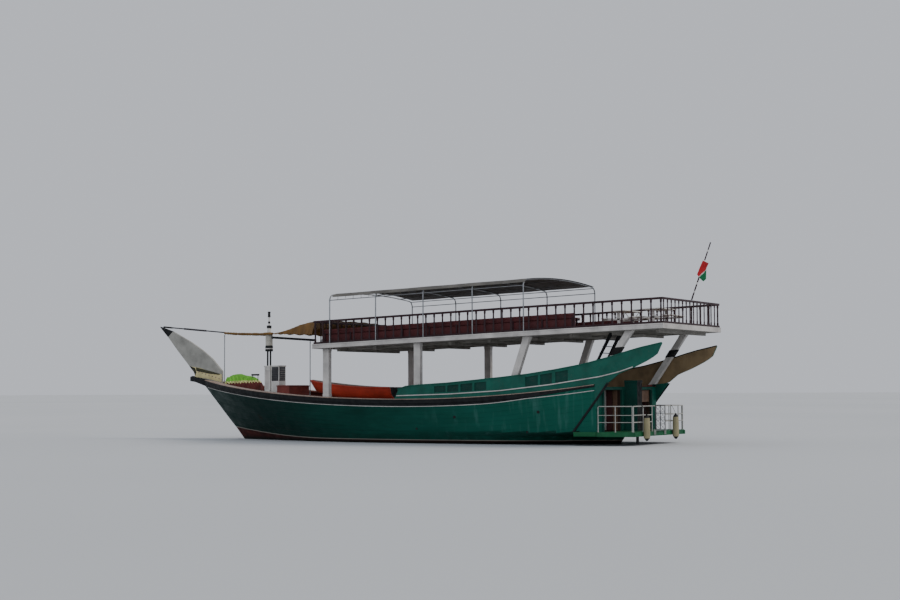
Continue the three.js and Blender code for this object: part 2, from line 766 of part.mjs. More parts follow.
// Tender on the fore deck, hollow, with a flat transom
const tender = { aftX: 5250, length: 4750, half: 780, skin: 45, y: -1000 };

const tenderRing = (t, inner) => {
  const inset = inner ? tender.skin : 0;
  const x = tender.aftX + tender.length * t;
  const half = tender.half * (1 - t ** 3) ** 0.7 + 25 - inset;
  const rim = 2330 + 380 * t ** 2.2;
  const bottom = 1760 + 420 * t ** 3 + inset;
  return { x, half: Math.max(20, half), rim, bottom };
};

const tenderSection = (t, inner) => {
  const { x, half, rim, bottom } = tenderRing(t, inner);
  const side = [
    [half * 0.1, bottom],
    [half * 0.62, bottom + 60],
    [half * 0.92, (rim + bottom) / 2],
    [half, rim],
  ];
  if (inner) side.push([half, rim + 60]);
  return [
    ...side.map(([y, z]) => vec(x, y, z)),
    ...side.slice().reverse().map(([y, z]) => vec(x, -y, z)),
  ];
};

const makeTender = () => {
  const skin = loft(steps(0, 1, 10).map((t) => tenderSection(t, false)));
  const well = loft(steps(0.02, 0.93, 9).map((t) => tenderSection(t, true)));
  const thwarts = [0.25, 0.5, 0.75].map((t) => {
    const { x, half, rim } = tenderRing(t, false);
    return box(x - 120, x + 120, -half * 0.94, half * 0.94, rim - 130, rim - 95);
  });
  addPiece('tender', join(cut(skin, well), thwarts).translate(0, tender.y, 0), finish(colours.skiffOrange));
  [['tender_chock_aft', 0.18], ['tender_chock_fore', 0.66]].forEach(([name, t]) => {
    const { x, bottom } = tenderRing(t, false);
    const chock = deckBlock(x, x + 120, tender.y - 450, tender.y + 450, bottom - seatGap);
    addPiece(name, chock, finish(colours.deckBrown));
  });
};

// The trunk of the rudder stock and a frame round each doorway
const makeStern = () => {
  const wallX = hull.sternX - seatGap;
  const foot = platform.topZ + seatGap;
  const trunk = box(wallX - 580, wallX, -260, 260, foot, 2560);
  addPiece('rudder_trunk', trunk, finish(colours.bulwarkGreen));
  const { innerY, outerY, topZ, frame } = doorway;
  const frameBar = (y0, y1, z0) => box(wallX - 90, wallX, y0, y1, z0, topZ + frame);
  bothSides('door_frame', join(
    frameBar(innerY - frame, innerY, foot),
    frameBar(outerY, outerY + frame, foot),
    frameBar(innerY - frame, outerY + frame, topZ),
  ), finish(colours.bulwarkGreen));
};

// Boarding ladder that stands folded up outside the aft edge of the platform, on a hinge
const ladder = {
  x: platform.aftX - 60,
  portY: 600,
  starboardY: -350,
  hingeZ: 580,
  high: 990,
  rail: 20,
  rungs: 4,
  hingeOut: 29.5,
  lugOut: 30,
  lugThick: 20,
};

// Platform over the water at the stern, with a pair of lugs for the boarding ladder
const platformHalf = (x) =>
  THREE.MathUtils.mapLinear(x, platform.frontX, platform.aftX, platform.frontHalf, platform.half);

const makePlatform = () => {
  const { aftX, frontX, topZ, thick } = platform;
  const slab = warped(box(aftX, frontX - seatGap, -1, 1, topZ - thick, topZ), (point) => {
    point.y *= platformHalf(point.x);
  });
  const lugFoot = topZ - thick + 40;
  const lugs = [ladder.portY + ladder.lugOut, ladder.starboardY - ladder.lugOut - ladder.lugThick].map((y) =>
    box(ladder.x - 25, aftX + 10, y, y + ladder.lugThick, lugFoot, ladder.hingeZ + 25));
  addPiece('stern_platform', join(slab, lugs), finish(colours.platformGreen));
};

// Posts of the platform's rails: x along the sides, y along the aft edge with the ladder's gate
const platformPosts = { side: [-6250, -6900], aft: [1560, 680, -650, -1240, -2030] };

const makePlatformRails = () => {
  const yAt = (x) => platformHalf(x) - platformRail.inset;
  const cornerX = platform.aftX + platformRail.inset;
  const foot = platform.topZ + seatGap;
  const top = foot + platformRail.high;
  const [low, middle, high] = [0.39, 0.66, 1].map((share) =>
    foot + platformRail.high * share - platformRail.tube);
  const post = (x, yPost) => rod(vec(x, yPost, foot), vec(x, yPost, top - 2), platformRail.tube);
  const bar = (from, to) => rod(from, to, platformRail.tube * 0.8);
  const sideEnd = cornerX + 2 * platformRail.tube + seatGap;
  const side = [...platformPosts.side, sideEnd].map((x) => post(x, yAt(x)));
  const [sideStart] = platformPosts.side;
  [low, middle, high].forEach((z) =>
    side.push(bar(vec(sideStart, yAt(sideStart), z), vec(sideEnd, yAt(sideEnd), z))));
  bothSides('platform_rail_side', join(side), finish(colours.white));
  const y = yAt(cornerX);
  const [, gatePort, gateStarboard] = platformPosts.aft;
  const aft = [y, ...platformPosts.aft, -y].map((yPost) => post(cornerX, yPost));
  const aftBar = (z, from, to) => aft.push(bar(vec(cornerX, from, z), vec(cornerX, to, z)));
  [low, middle].forEach((z) => {
    aftBar(z, y, gatePort);
    aftBar(z, gateStarboard, -y);
  });
  aftBar(high, y, -y);
  addPiece('platform_rail_aft', join(aft), finish(colours.white));
};

const makeLadder = () => {
  const { x, portY, starboardY, hingeZ, high, hingeOut } = ladder;
  const crossTube = (z, out) =>
    rod(vec(x, portY + out, z), vec(x, starboardY - out, z), ladder.rail * 0.8);
  const stiles = [portY, (portY + starboardY) / 2, starboardY].map((y) =>
    rod(vec(x, y, hingeZ), vec(x, y, hingeZ + high), ladder.rail));
  const rungs = steps(0, 1, ladder.rungs).slice(1).map((t) => crossTube(hingeZ + (high - 40) * t, 0));
  const hingeTube = crossTube(hingeZ, hingeOut);
  addPiece('boarding_ladder', join(stiles, rungs, hingeTube), finish(colours.steel, 0.4, 0.7));
};

// Fenders on lanyards over the aft rail: y, top z
const fenders = [['fender_a', 1650, 1180], ['fender_b', -1300, 1180]];

const fenderProfile = [
  [0, -1000], [60, -985], [115, -900], [130, -700], [130, -400], [115, -100], [60, -15], [0, 0],
];

const lanyard = 8;

const makeFenders = () => {
  const x = platform.aftX - fenderProfile[3][0] - seatGap;
  const railTop = platform.topZ + platformRail.high - platformRail.tube;
  fenders.forEach(([name, y, top]) => {
    const body = new THREE.LatheGeometry(fenderProfile.map(([r, z]) => new THREE.Vector2(r, z)), 16)
      .rotateX(Math.PI / 2).translate(x, y, top);
    const hung = vec(platform.aftX + platformRail.inset - platformRail.tube - lanyard, y, railTop);
    addPiece(name, join(body, rod(vec(x, y, top - 30), hung, lanyard)), finish(colours.cream));
  });
};

// Flagstaff leaning aft from the rail, with a limp flag beside it
const flagstaff = { headX: -9870, headZ: 7990, radius: 28 };
const flagOutline = [
  [-9545, 7280],
  [-9810, 7150],
  [-9680, 6950],
  [-9680, 6520],
  [-9580, 6440],
  [-9460, 6500],
  [-9295, 6740],
];

const makeFlag = () => {
  const railTop = upperTop(aftRailX - rail.thick / 2) + seatGap + rail.high;
  const lean = Math.atan2(aftRailX - flagstaff.headX, flagstaff.headZ - railTop);
  const foot = vec(aftRailX, 0, railTop + seatGap + flagstaff.radius * Math.sin(lean));
  const head = vec(flagstaff.headX, 0, flagstaff.headZ);
  const staff = rod(foot, head, flagstaff.radius);
  staff.computeBoundingBox();
  addPiece('flagstaff', staff, finish(colours.white));
  const side = staff.boundingBox.max.y + seatGap;
  addPiece('flag', sideShape(flagOutline, side, side + 20), finish(colours.flagRed, 0.9));
};

// Steep ladder with flat treads between two boards, from the main deck up through the hatch
const companion = { footX: -5150, y: 1400, half: 440, board: 40, deep: 70, tread: 90, treadThick: 30 };

const makeCompanionLadder = () => {
  const { footX, y, half, board, deep, tread, treadThick } = companion;
  const headX = companionway.aftX + seatGap;
  const headZ = upperTop(headX);
  const side = [
    [footX, deckAt(footX)],
    [footX + deep, deckAt(footX + deep)],
    [headX + deep, headZ],
    [headX, headZ],
    [headX, headZ - upperDeck.thick],
  ];
  const boards = [y - half, y + half - board].map((y0) => sideShape(side, y0, y0 + board));
  const foot = vec(footX + deep / 2, y, deckAt(footX));
  const head = vec(headX + deep, y, headZ);
  const treads = steps(0.08, 0.92, 8).map((t) => {
    const at = foot.clone().lerp(head, t);
    return box(at.x - tread / 2, at.x + tread / 2, y - half + 5, y + half - 5, at.z - treadThick, at.z);
  });
  addPiece('companion_ladder', join(boards, treads), finish(colours.nearBlack));
};

// Rudder on a vertical stock, and the propeller ahead of it
const rudder = {
  stockX: -6650,
  stockRadius: 60,
  bladeFrom: -6600,
  bladeTo: -7450,
  thick: 90,
  topZ: -20,
  footZ: -1440,
  endGap: 0.6,
};
const propeller = {
  x: -5750,
  z: -880,
  radius: 480,
  hubRadius: 95,
  blades: 3,
  shaftRadius: 45,
  shaftFromX: -5287.5,
};
const blade = { radius: 150, wide: 1.1, long: 2, thick: 30, pitch: 0.5 };

const makeRudder = () => {
  const { stockX, bladeFrom, bladeTo, topZ, footZ, thick, endGap } = rudder;
  const plate = sideShape([
    [bladeFrom, footZ],
    [bladeFrom, topZ],
    [bladeTo + 250, topZ],
    [bladeTo, topZ - 290],
    [bladeTo, footZ],
  ], -thick / 2, thick / 2);
  const stockFoot = vec(stockX, 0, keel.heelZ + endGap);
  const stockHead = vec(stockX, 0, platform.topZ - platform.thick - endGap);
  const stock = rod(stockFoot, stockHead, rudder.stockRadius, 16);
  addPiece('rudder', join(plate, stock), finish(colours.bottomRed));
};

const makePropeller = () => {
  const { x, z, radius, hubRadius, shaftFromX, shaftRadius } = propeller;
  const blades = steps(0, 2 * Math.PI, propeller.blades).slice(1).map((turn) =>
    new THREE.CylinderGeometry(blade.radius, blade.radius, blade.thick, 16).rotateZ(Math.PI / 2)
      .scale(1, blade.wide, blade.long).translate(0, 0, radius - blade.radius * blade.long)
      .rotateZ(blade.pitch).rotateX(turn).translate(x, 0, z));
  addPiece('propeller', join(
    rod(vec(shaftFromX, 0, z), vec(x, 0, z), shaftRadius, 16),
    rod(vec(x + 130, 0, z), vec(x - 110, 0, z), hubRadius, 16, hubRadius * 0.6),
    blades,
  ), finish(colours.bronze, 0.4, 0.8));
};

makeHull();
makeKeel();
makeGunwales();
makeStem();
makeBulwarks();
makeQuarters();
makeUpperDeck();
makePillars();
makeRails();
makeBenches();
makeTables();
makeCanopy();
makeAwning();
makeMast();
makeForedeck();
makeTender();
makePlatform();
makeStern();
makePlatformRails();
makeLadder();
makeFenders();
makeFlag();
makeCompanionLadder();
makeRudder();
makePropeller();

export default dhow;
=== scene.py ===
import math
import random
import bpy
import bmesh
import numpy as np
from mathutils import Matrix, Vector


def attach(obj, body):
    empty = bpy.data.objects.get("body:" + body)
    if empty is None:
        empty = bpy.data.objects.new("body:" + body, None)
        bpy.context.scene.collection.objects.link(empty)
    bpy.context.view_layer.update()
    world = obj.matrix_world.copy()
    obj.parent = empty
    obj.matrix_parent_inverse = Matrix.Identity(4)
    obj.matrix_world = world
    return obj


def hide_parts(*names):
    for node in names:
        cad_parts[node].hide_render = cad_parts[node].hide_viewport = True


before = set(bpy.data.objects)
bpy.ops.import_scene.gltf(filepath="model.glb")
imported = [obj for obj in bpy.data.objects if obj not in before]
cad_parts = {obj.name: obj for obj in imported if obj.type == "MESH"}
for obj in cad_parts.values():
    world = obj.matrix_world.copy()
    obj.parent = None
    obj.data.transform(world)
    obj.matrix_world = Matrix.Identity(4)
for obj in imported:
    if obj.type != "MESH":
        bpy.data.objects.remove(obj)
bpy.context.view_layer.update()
up = Vector((0, 0, 1))

# Camera: low over the water off the port quarter, tipped a little because the boat heels towards it
camera = {
    "place": (-33.159, 60.554, 1.682),
    "yaw": 0.526983,
    "pitch": 0.0631849,
    "lens": 65.06,
    "heel": 0.5,
    "heelPivot": (0, 3.3, 2.0),
}
ahead = Vector((
    math.sin(camera["yaw"]) * math.cos(camera["pitch"]),
    -math.cos(camera["yaw"]) * math.cos(camera["pitch"]),
    math.sin(camera["pitch"]),
))
pivot = Matrix.Translation(camera["heelPivot"])
heel = pivot @ Matrix.Rotation(math.radians(camera["heel"]), 4, "X") @ pivot.inverted()
cameraObject = bpy.data.objects.new("camera", bpy.data.cameras.new("camera"))
cameraObject.data.lens = camera["lens"]
cameraObject.data.clip_end = 2000
placed = Matrix.Translation(camera["place"]) @ ahead.to_track_quat("-Z", "Y").to_matrix().to_4x4()
cameraObject.matrix_world = heel @ placed
bpy.context.collection.objects.link(cameraObject)
bpy.context.scene.camera = cameraObject


# Small helpers for materials
def newMaterial(name, roughness, metallic=0.0):
    material = bpy.data.materials.new(name)
    material.use_nodes = True
    shader = material.node_tree.nodes["Principled BSDF"]
    shader.inputs["Roughness"].default_value = roughness
    shader.inputs["Metallic"].default_value = metallic
    return material, material.node_tree, shader


def addNode(tree, kind, inputs=None, **settings):
    node = tree.nodes.new(kind)
    for key, value in settings.items():
        setattr(node, key, value)
    for key, value in (inputs or {}).items():
        if isinstance(value, bpy.types.NodeSocket):
            tree.links.new(value, node.inputs[key])
        else:
            node.inputs[key].default_value = value
    return node


def place(tree, scale=(1, 1, 1)):
    coords = addNode(tree, "ShaderNodeTexCoord")
    return addNode(tree, "ShaderNodeMapping", {"Vector": coords.outputs["Object"], "Scale": scale}).outputs[0]


def noise(tree, scale, detail, rough=0.55, stretch=(1, 1, 1)):
    return addNode(tree, "ShaderNodeTexNoise", {
        "Vector": place(tree, stretch), "Scale": scale, "Detail": detail, "Roughness": rough,
    }).outputs["Fac"]


def ramp(tree, value, stops):
    node = addNode(tree, "ShaderNodeValToRGB", {"Fac": value})
    elements = node.color_ramp.elements
    while len(elements) < len(stops):
        elements.new(0.5)
    for element, (position, colour) in zip(elements, stops):
        element.position = position
        element.color = (*colour, 1)
    return node.outputs["Color"]


def step(tree, value, low, high):
    return addNode(tree, "ShaderNodeMapRange", {
        "Value": value, "From Min": low, "From Max": high,
    }, interpolation_type="SMOOTHSTEP").outputs[0]


def sums(tree, operation, a, b):
    return addNode(tree, "ShaderNodeMath", {0: a, 1: b}, operation=operation).outputs[0]


def times(tree, a, b):
    return sums(tree, "MULTIPLY", a, b)


def mix(tree, factor, a, b):
    node = tree.nodes.new("ShaderNodeMix")
    node.data_type = "RGBA"
    for socket, value in ((node.inputs[0], factor), (node.inputs[6], a), (node.inputs[7], b)):
        if isinstance(value, bpy.types.NodeSocket):
            tree.links.new(value, socket)
        elif isinstance(value, (float, int)):
            socket.default_value = value
        else:
            socket.default_value = (*value, 1)
    return node.outputs[2]


def bump(tree, shader, height, strength, distance):
    node = addNode(tree, "ShaderNodeBump", {"Height": height, "Strength": strength, "Distance": distance})
    tree.links.new(node.outputs[0], shader.inputs["Normal"])


def finishColour(tree, shader, colour):
    tree.links.new(colour, shader.inputs["Base Color"])


def shade(colour, factor):
    return tuple(channel * factor for channel in colour)


# Brushed paint on wood: patches, thin runs down the face, chips that show what is under
def paint(name, colour, roughness=0.5, grain=(0.4, 6, 6), wear=0.62, under=(0.10, 0.07, 0.05), runs=0.25):
    material, tree, shader = newMaterial(name, roughness)
    shader.inputs["Specular IOR Level"].default_value = 0.3
    patches = ramp(tree, noise(tree, 1.7, 6), [
        (0.3, shade(colour, 0.72)), (0.5, colour), (0.72, shade(colour, 1.25)),
    ])
    streaks = times(tree, step(tree, noise(tree, 9, 3, 0.5, (1, 1, 0.12)), 0.5, 0.8), runs)
    streaked = mix(tree, streaks, patches, shade(colour, 1.9))
    chips = step(tree, noise(tree, 23, 8, 0.7), wear, wear + 0.05)
    finishColour(tree, shader, mix(tree, times(tree, chips, 0.8), streaked, under))
    dull, shiny = min(1, roughness * 1.35), roughness * 0.8
    worn = ramp(tree, noise(tree, 5, 5), [(0.3, (shiny,) * 3), (0.7, (dull,) * 3)])
    tree.links.new(worn, shader.inputs["Roughness"])
    bump(tree, shader, noise(tree, 14, 6, 0.6, grain), 0.35, 0.004)
    return material


def metal(name, colour, roughness, metallic=1.0):
    material, tree, shader = newMaterial(name, roughness, metallic)
    base = ramp(tree, noise(tree, 3, 6), [(0.3, shade(colour, 0.75)), (0.7, shade(colour, 1.1))])
    spots = step(tree, noise(tree, 17, 7, 0.7), 0.6, 0.72)
    finishColour(tree, shader, mix(tree, spots, base, (0.12, 0.08, 0.05)))
    bump(tree, shader, noise(tree, 60, 4), 0.15, 0.001)
    return material


def cloth(name, colour, folds=0.3, sheen=0.05):
    material, tree, shader = newMaterial(name, 0.85)
    shader.inputs["Sheen Weight"].default_value = sheen
    shader.inputs["Specular IOR Level"].default_value = 0.2
    base = ramp(tree, noise(tree, 1.1, 7), [
        (0.3, shade(colour, 0.62)), (0.52, colour), (0.75, shade(colour, 1.35)),
    ])
    stains = step(tree, noise(tree, 2.3, 5, 0.6, (1, 1, 0.4)), 0.52, 0.72)
    finishColour(tree, shader, mix(tree, times(tree, stains, 0.45), base, shade(colour, 0.45)))
    threads = [addNode(tree, "ShaderNodeTexWave", {
        "Vector": place(tree), "Scale": 160, "Distortion": 0.6,
    }, bands_direction=axis).outputs["Fac"] for axis in ("X", "Y")]
    creases = times(tree, noise(tree, 4, 5, 0.6), folds * 8)
    bump(tree, shader, sums(tree, "ADD", sums(tree, "ADD", *threads), creases), 0.4, 0.004)
    return material


# The hull's paint: green above a pale line, red-brown below it, with pale runs and a rust stain at the
# anchor; the green is darkened towards the bow as painted shade and lightened towards the stern as painted
# light
hullColours = {
    "green": (0.0015, 0.050, 0.036), "worn": (0.004, 0.075, 0.055), "fore": (0.001, 0.020, 0.016),
    "aft": (0.002, 0.100, 0.068), "chalk": (0.075, 0.17, 0.15), "scum": (0.006, 0.03, 0.02),
    "redDark": (0.028, 0.006, 0.005), "redPale": (0.075, 0.018, 0.014), "weed": (0.008, 0.009, 0.007),
    "line": (0.30, 0.28, 0.24), "rust": (0.055, 0.018, 0.010),
}


def hullPaint():
    material, tree, shader = newMaterial("hullPaint", 0.42)
    split = addNode(tree, "ShaderNodeSeparateXYZ", {"Vector": place(tree)})
    x = split.outputs["X"]
    z = split.outputs["Z"]
    shader.inputs["Specular IOR Level"].default_value = 0.12
    colours = hullColours
    green = colours["green"]
    patches = ramp(tree, noise(tree, 0.6, 7, 0.6, (0.5, 1, 1.6)), [
        (0.3, shade(green, 0.65)), (0.5, green), (0.72, colours["worn"]),
    ])
    # Painted shade: the green runs darker towards the bow; painted light: it runs lighter towards the stern
    fore = mix(tree, step(tree, x, 4.0, 11.0), patches, colours["fore"])
    aft = mix(tree, step(tree, x, 4.5, -5.5), fore, mix(tree, 0.6, patches, colours["aft"]))
    streaks = step(tree, noise(tree, 5, 4, 0.55, (1, 1, 0.07)), 0.52, 0.78)
    chalk = times(tree, times(tree, streaks, 0.42), step(tree, x, 3.2, -1.5))
    chalked = mix(tree, chalk, aft, colours["chalk"])
    forward = times(tree, sums(tree, "SUBTRACT", x, 6.6), 0.144)
    rise = sums(tree, "POWER", sums(tree, "MAXIMUM", forward, 0), 2)
    line = sums(tree, "ADD", times(tree, rise, 0.42), 0.15)
    above = sums(tree, "SUBTRACT", z, line)
    scum = times(tree, step(tree, above, 0.5, 0.02), step(tree, noise(tree, 3, 5), 0.35, 0.7))
    dirty = mix(tree, times(tree, scum, 0.55), chalked, colours["scum"])
    red = ramp(tree, noise(tree, 3.5, 6), [(0.35, colours["redDark"]), (0.7, colours["redPale"])])
    wetBand = times(tree, step(tree, z, 0.22, 0.02), step(tree, z, -0.5, -0.15))
    weed = mix(tree, wetBand, red, colours["weed"])
    lined = mix(tree, step(tree, above, -0.018, -0.010), weed, colours["line"])
    painted = mix(tree, step(tree, above, 0.012, 0.020), lined, dirty)
    anchor = (10.9, 1.45, 1.16)
    away = addNode(tree, "ShaderNodeVectorMath", {0: place(tree), 1: anchor}, operation="DISTANCE")
    near = step(tree, away.outputs["Value"], 0.34, 0.08)
    rust = times(tree, near, step(tree, noise(tree, 9, 4), 0.3, 0.55))
    finishColour(tree, shader, mix(tree, rust, painted, colours["rust"]))
    worn = ramp(tree, noise(tree, 2.2, 5), [(0.3, (0.42,) * 3), (0.7, (0.70,) * 3)])
    tree.links.new(worn, shader.inputs["Roughness"])
    bump(tree, shader, noise(tree, 5, 7, 0.6, (0.35, 1, 2.4)), 0.35, 0.012)
    return material


paints = {
    "bottomPaint": {"colour": (0.06, 0.014, 0.011), "roughness": 0.7},
    "bulwarkPaint": {"colour": (0.001, 0.078, 0.054), "roughness": 0.6, "runs": 0.08},
    # Darker green for the floors of the bulwark's sunk panels: painted shade in the recesses
    "panelGreen": {"colour": (0.0008, 0.036, 0.027), "roughness": 0.7, "runs": 0.08},
    "platformPaint": {"colour": (0.0005, 0.080, 0.028), "roughness": 0.6, "runs": 0.1},
    "blackPaint": {"colour": (0.003, 0.004, 0.005), "roughness": 0.65, "under": (0.03, 0.025, 0.02),
                   "runs": 0.1},
    "greyPaint": {"colour": (0.44, 0.42, 0.40), "roughness": 0.55, "wear": 0.66, "under": (0.2, 0.16, 0.12),
                  "runs": 0.1},
    # Darker grey for the upper deck's underside and its beams: painted shade under the deck
    "underPaint": {"colour": (0.21, 0.20, 0.18), "roughness": 0.7, "runs": 0.05},
    "whitePaint": {"colour": (0.58, 0.57, 0.54), "roughness": 0.5, "wear": 0.66, "under": (0.25, 0.2, 0.15),
                   "runs": 0.1},
    "capPaint": {"colour": (0.30, 0.22, 0.18), "roughness": 0.6, "wear": 0.56, "under": (0.12, 0.08, 0.06)},
    "innerRed": {"colour": (0.19, 0.045, 0.036), "roughness": 0.55, "runs": 0.1},
    "wingBrown": {"colour": (0.20, 0.14, 0.075), "roughness": 0.6, "runs": 0.1},
    "stemPaint": {"colour": (0.26, 0.255, 0.23), "roughness": 0.6, "wear": 0.66, "under": (0.15, 0.12, 0.1),
                  "runs": 0.1},
    "maroon": {"colour": (0.022, 0.006, 0.009), "roughness": 0.5, "under": (0.09, 0.04, 0.02), "runs": 0.08},
    "benchMaroon": {"colour": (0.062, 0.010, 0.011), "roughness": 0.55, "under": (0.1, 0.05, 0.03),
                    "runs": 0.08},
    "hatchRed": {"colour": (0.17, 0.045, 0.036), "roughness": 0.55},
    "deckBrown": {"colour": (0.15, 0.085, 0.055), "roughness": 0.7},
    "skiffOrange": {"colour": (0.50, 0.050, 0.026), "roughness": 0.55, "runs": 0.1},
    "skiffInside": {"colour": (0.30, 0.24, 0.20), "roughness": 0.6},
    "creamPaint": {"colour": (0.50, 0.44, 0.22), "roughness": 0.55, "wear": 0.7, "runs": 0.05},
    "oliveDark": {"colour": (0.035, 0.034, 0.014), "roughness": 0.55, "wear": 0.7},
    "sternGreen": {"colour": (0.001, 0.052, 0.038), "roughness": 0.65, "runs": 0.08},
    "rubber": {"colour": (0.24, 0.215, 0.125), "roughness": 0.75, "grain": (3, 3, 3), "wear": 0.7,
               "runs": 0.2},
    "blackRubber": {"colour": (0.012, 0.012, 0.012), "roughness": 0.7, "grain": (3, 3, 3)},
    "rope": {"colour": (0.10, 0.085, 0.06), "roughness": 0.9, "grain": (9, 9, 9)},
    "doorMaroon": {"colour": (0.070, 0.024, 0.024), "roughness": 0.6, "runs": 0.1},
    # Near-black brown for the stern rooms' walls and the doors folded back in them: painted shade inside the
    # rooms
    "cabinDark": {"colour": (0.035, 0.018, 0.013), "roughness": 0.7},
    "drumPaint": {"colour": (0.36, 0.345, 0.30), "roughness": 0.55, "wear": 0.7, "runs": 0.05},
}
metals = {
    "steel": {"colour": (0.27, 0.28, 0.29), "roughness": 0.45},
    "darkSteel": {"colour": (0.06, 0.06, 0.065), "roughness": 0.5, "metallic": 0.6},
    "whiteTube": {"colour": (0.35, 0.345, 0.32), "roughness": 0.5, "metallic": 0.0},
    "bronze": {"colour": (0.40, 0.25, 0.11), "roughness": 0.4},
}
cloths = {
    "tanCloth": {"colour": (0.17, 0.092, 0.026)},
    "roofCloth": {"colour": (0.085, 0.08, 0.075)},
    "hemCloth": {"colour": (0.11, 0.105, 0.095)},
    "limeCloth": {"colour": (0.13, 0.40, 0.035), "folds": 0.6},
    "coverRed": {"colour": (0.11, 0.026, 0.022), "folds": 0.6},
    "ruffleCloth": {"colour": (0.62, 0.60, 0.26)},
    "tanHem": {"colour": (0.16, 0.082, 0.022), "sheen": 0},
    "darkRoll": {"colour": (0.045, 0.042, 0.045)},
    "flagRed": {"colour": (0.42, 0.02, 0.025), "folds": 0.15},
    "flagWhite": {"colour": (0.60, 0.58, 0.55), "folds": 0.15},
    "flagGreen": {"colour": (0.01, 0.13, 0.05), "folds": 0.15},
}
finishes = {"hullPaint": hullPaint()}
for make, table in ((paint, paints), (metal, metals), (cloth, cloths)):
    for name, look in table.items():
        finishes[name] = make(name, **look)


# Small helpers for pieces: what an object rides on, which nodes it stands for and its materials
def register(piece, body, replaced):
    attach(piece, body)
    if replaced:
        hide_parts(*replaced)


def newObject(name, data, keys):
    for key in keys:
        data.materials.append(finishes[key])
    made = bpy.data.objects.new(name, data)
    bpy.context.collection.objects.link(made)
    return made


def finishPiece(name, bm, keys, body="boat", replaced=(), angle=35, bevel=0):
    bmesh.ops.remove_doubles(bm, verts=bm.verts, dist=1e-5)
    bmesh.ops.recalc_face_normals(bm, faces=bm.faces)
    mesh = bpy.data.meshes.new(name)
    bm.to_mesh(mesh)
    bm.free()
    mesh.shade_smooth()
    mesh.set_sharp_from_angle(angle=math.radians(angle))
    piece = newObject(name, mesh, [keys] if isinstance(keys, str) else keys)
    if bevel:
        edge = piece.modifiers.new("edge", "BEVEL")
        edge.width = bevel
        edge.segments = 2
        edge.limit_method = "ANGLE"
        edge.angle_limit = math.radians(40)
    register(piece, body, replaced)
    return piece


# Cut away from a piece what a tool takes up; the cut faces get the tool's materials
def cutOut(piece, name, bm, keys):
    mesh = bpy.data.meshes.new(name)
    bm.to_mesh(mesh)
    bm.free()
    tool = newObject(name, mesh, keys)
    opening = piece.modifiers.new(name, "BOOLEAN")
    opening.object = tool
    opening.solver = "EXACT"
    depsgraph = bpy.context.evaluated_depsgraph_get()
    cutMesh = bpy.data.meshes.new_from_object(piece.evaluated_get(depsgraph))
    piece.modifiers.clear()
    piece.data = cutMesh
    bpy.data.objects.remove(tool)


def setIndex(geometry, index):
    for face in {f for v in geometry for f in v.link_faces}:
        face.material_index = index


def areaOf(bm):
    return sum(face.calc_area() for face in bm.faces)


# A box from its low and high corners, in a frame of its own if one is given
def addBox(bm, low, high, index=0, turn=None):
    low = Vector(low)
    high = Vector(high)
    size = Matrix.Diagonal((*(high - low), 1))
    matrix = (turn or Matrix()) @ Matrix.Translation((low + high) / 2) @ size
    made = bmesh.ops.create_cube(bm, size=1, matrix=matrix)["verts"]
    setIndex(made, index)
    return made


def addRod(bm, start, end, radius, sides, index=0):
    start = Vector(start)
    end = Vector(end)
    along = end - start
    matrix = Matrix.Translation((start + end) / 2) @ along.to_track_quat("Z", "Y").to_matrix().to_4x4()
    made = bmesh.ops.create_cone(
        bm, cap_ends=True, segments=sides, radius1=radius, radius2=radius, depth=along.length,
        matrix=matrix)["verts"]
    setIndex(made, index)


# A turned shape from (radius, height) pairs, about an axis through a point
def addTurned(bm, profile, centre, axis=up, sides=20, index=0):
    other = axis.orthogonal().normalized()
    centre = Vector(centre)
    verts = [bm.verts.new(centre + other * radius + axis * height) for radius, height in profile]
    edges = [bm.edges.new(pair) for pair in zip(verts, verts[1:])]
    made = bmesh.ops.spin(
        bm, geom=verts + edges, cent=centre, axis=axis, angle=2 * math.pi, steps=sides, use_merge=True)
    faces = {f for item in made["geom_last"] if isinstance(item, bmesh.types.BMVert) for f in item.link_faces}
    spun = set(faces)
    frontier = set(faces)
    while frontier:
        frontier = {f for face in frontier for e in face.edges for f in e.link_faces} - spun
        spun |= frontier
    for face in spun:
        face.material_index = index


# A skin through sections: ringAt(u) gives the points of one closed or open section
def addLoft(bm, us, ringAt, indexOf=None, closed=True, caps=True):
    rings = [ringAt(u) for u in us]
    if closed:
        rings = [[*ring, ring[0]] for ring in rings]
    across = len(rings[0])
    before = set(bm.faces)
    made = bmesh.ops.create_grid(bm, x_segments=len(us) - 1, y_segments=across - 1, size=1)["verts"]
    spots = {}
    for vert in made:
        spots[vert] = (round((vert.co.x + 1) / 2 * (len(us) - 1)), round((vert.co.y + 1) / 2 * (across - 1)))
    new = [f for f in bm.faces if f not in before]
    for face in new:
        row = min(spots[v][1] for v in face.verts)
        face.material_index = indexOf[row] if indexOf else 0
    for vert, (i, j) in spots.items():
        vert.co = rings[i][j]
    if closed:
        bmesh.ops.remove_doubles(bm, verts=made, dist=1e-5)
        if caps:
            loose = [e for f in new if f.is_valid for e in f.edges if e.is_boundary]
            bmesh.ops.holes_fill(bm, edges=list(set(loose)), sides=0)
    return new


# A flat shape from its side outline in X and Z, given its width in Y
def addSide(bm, points, y0, y1, index=0):
    verts = [bm.verts.new((x, y0, z)) for x, z in points]
    face = bm.faces.new(verts)
    made = bmesh.ops.extrude_face_region(bm, geom=[face])["geom"]
    top = [v for v in made if isinstance(v, bmesh.types.BMVert)]
    bmesh.ops.translate(bm, verts=top, vec=(0, y1 - y0, 0))
    setIndex(verts + top, index)
    return verts + top


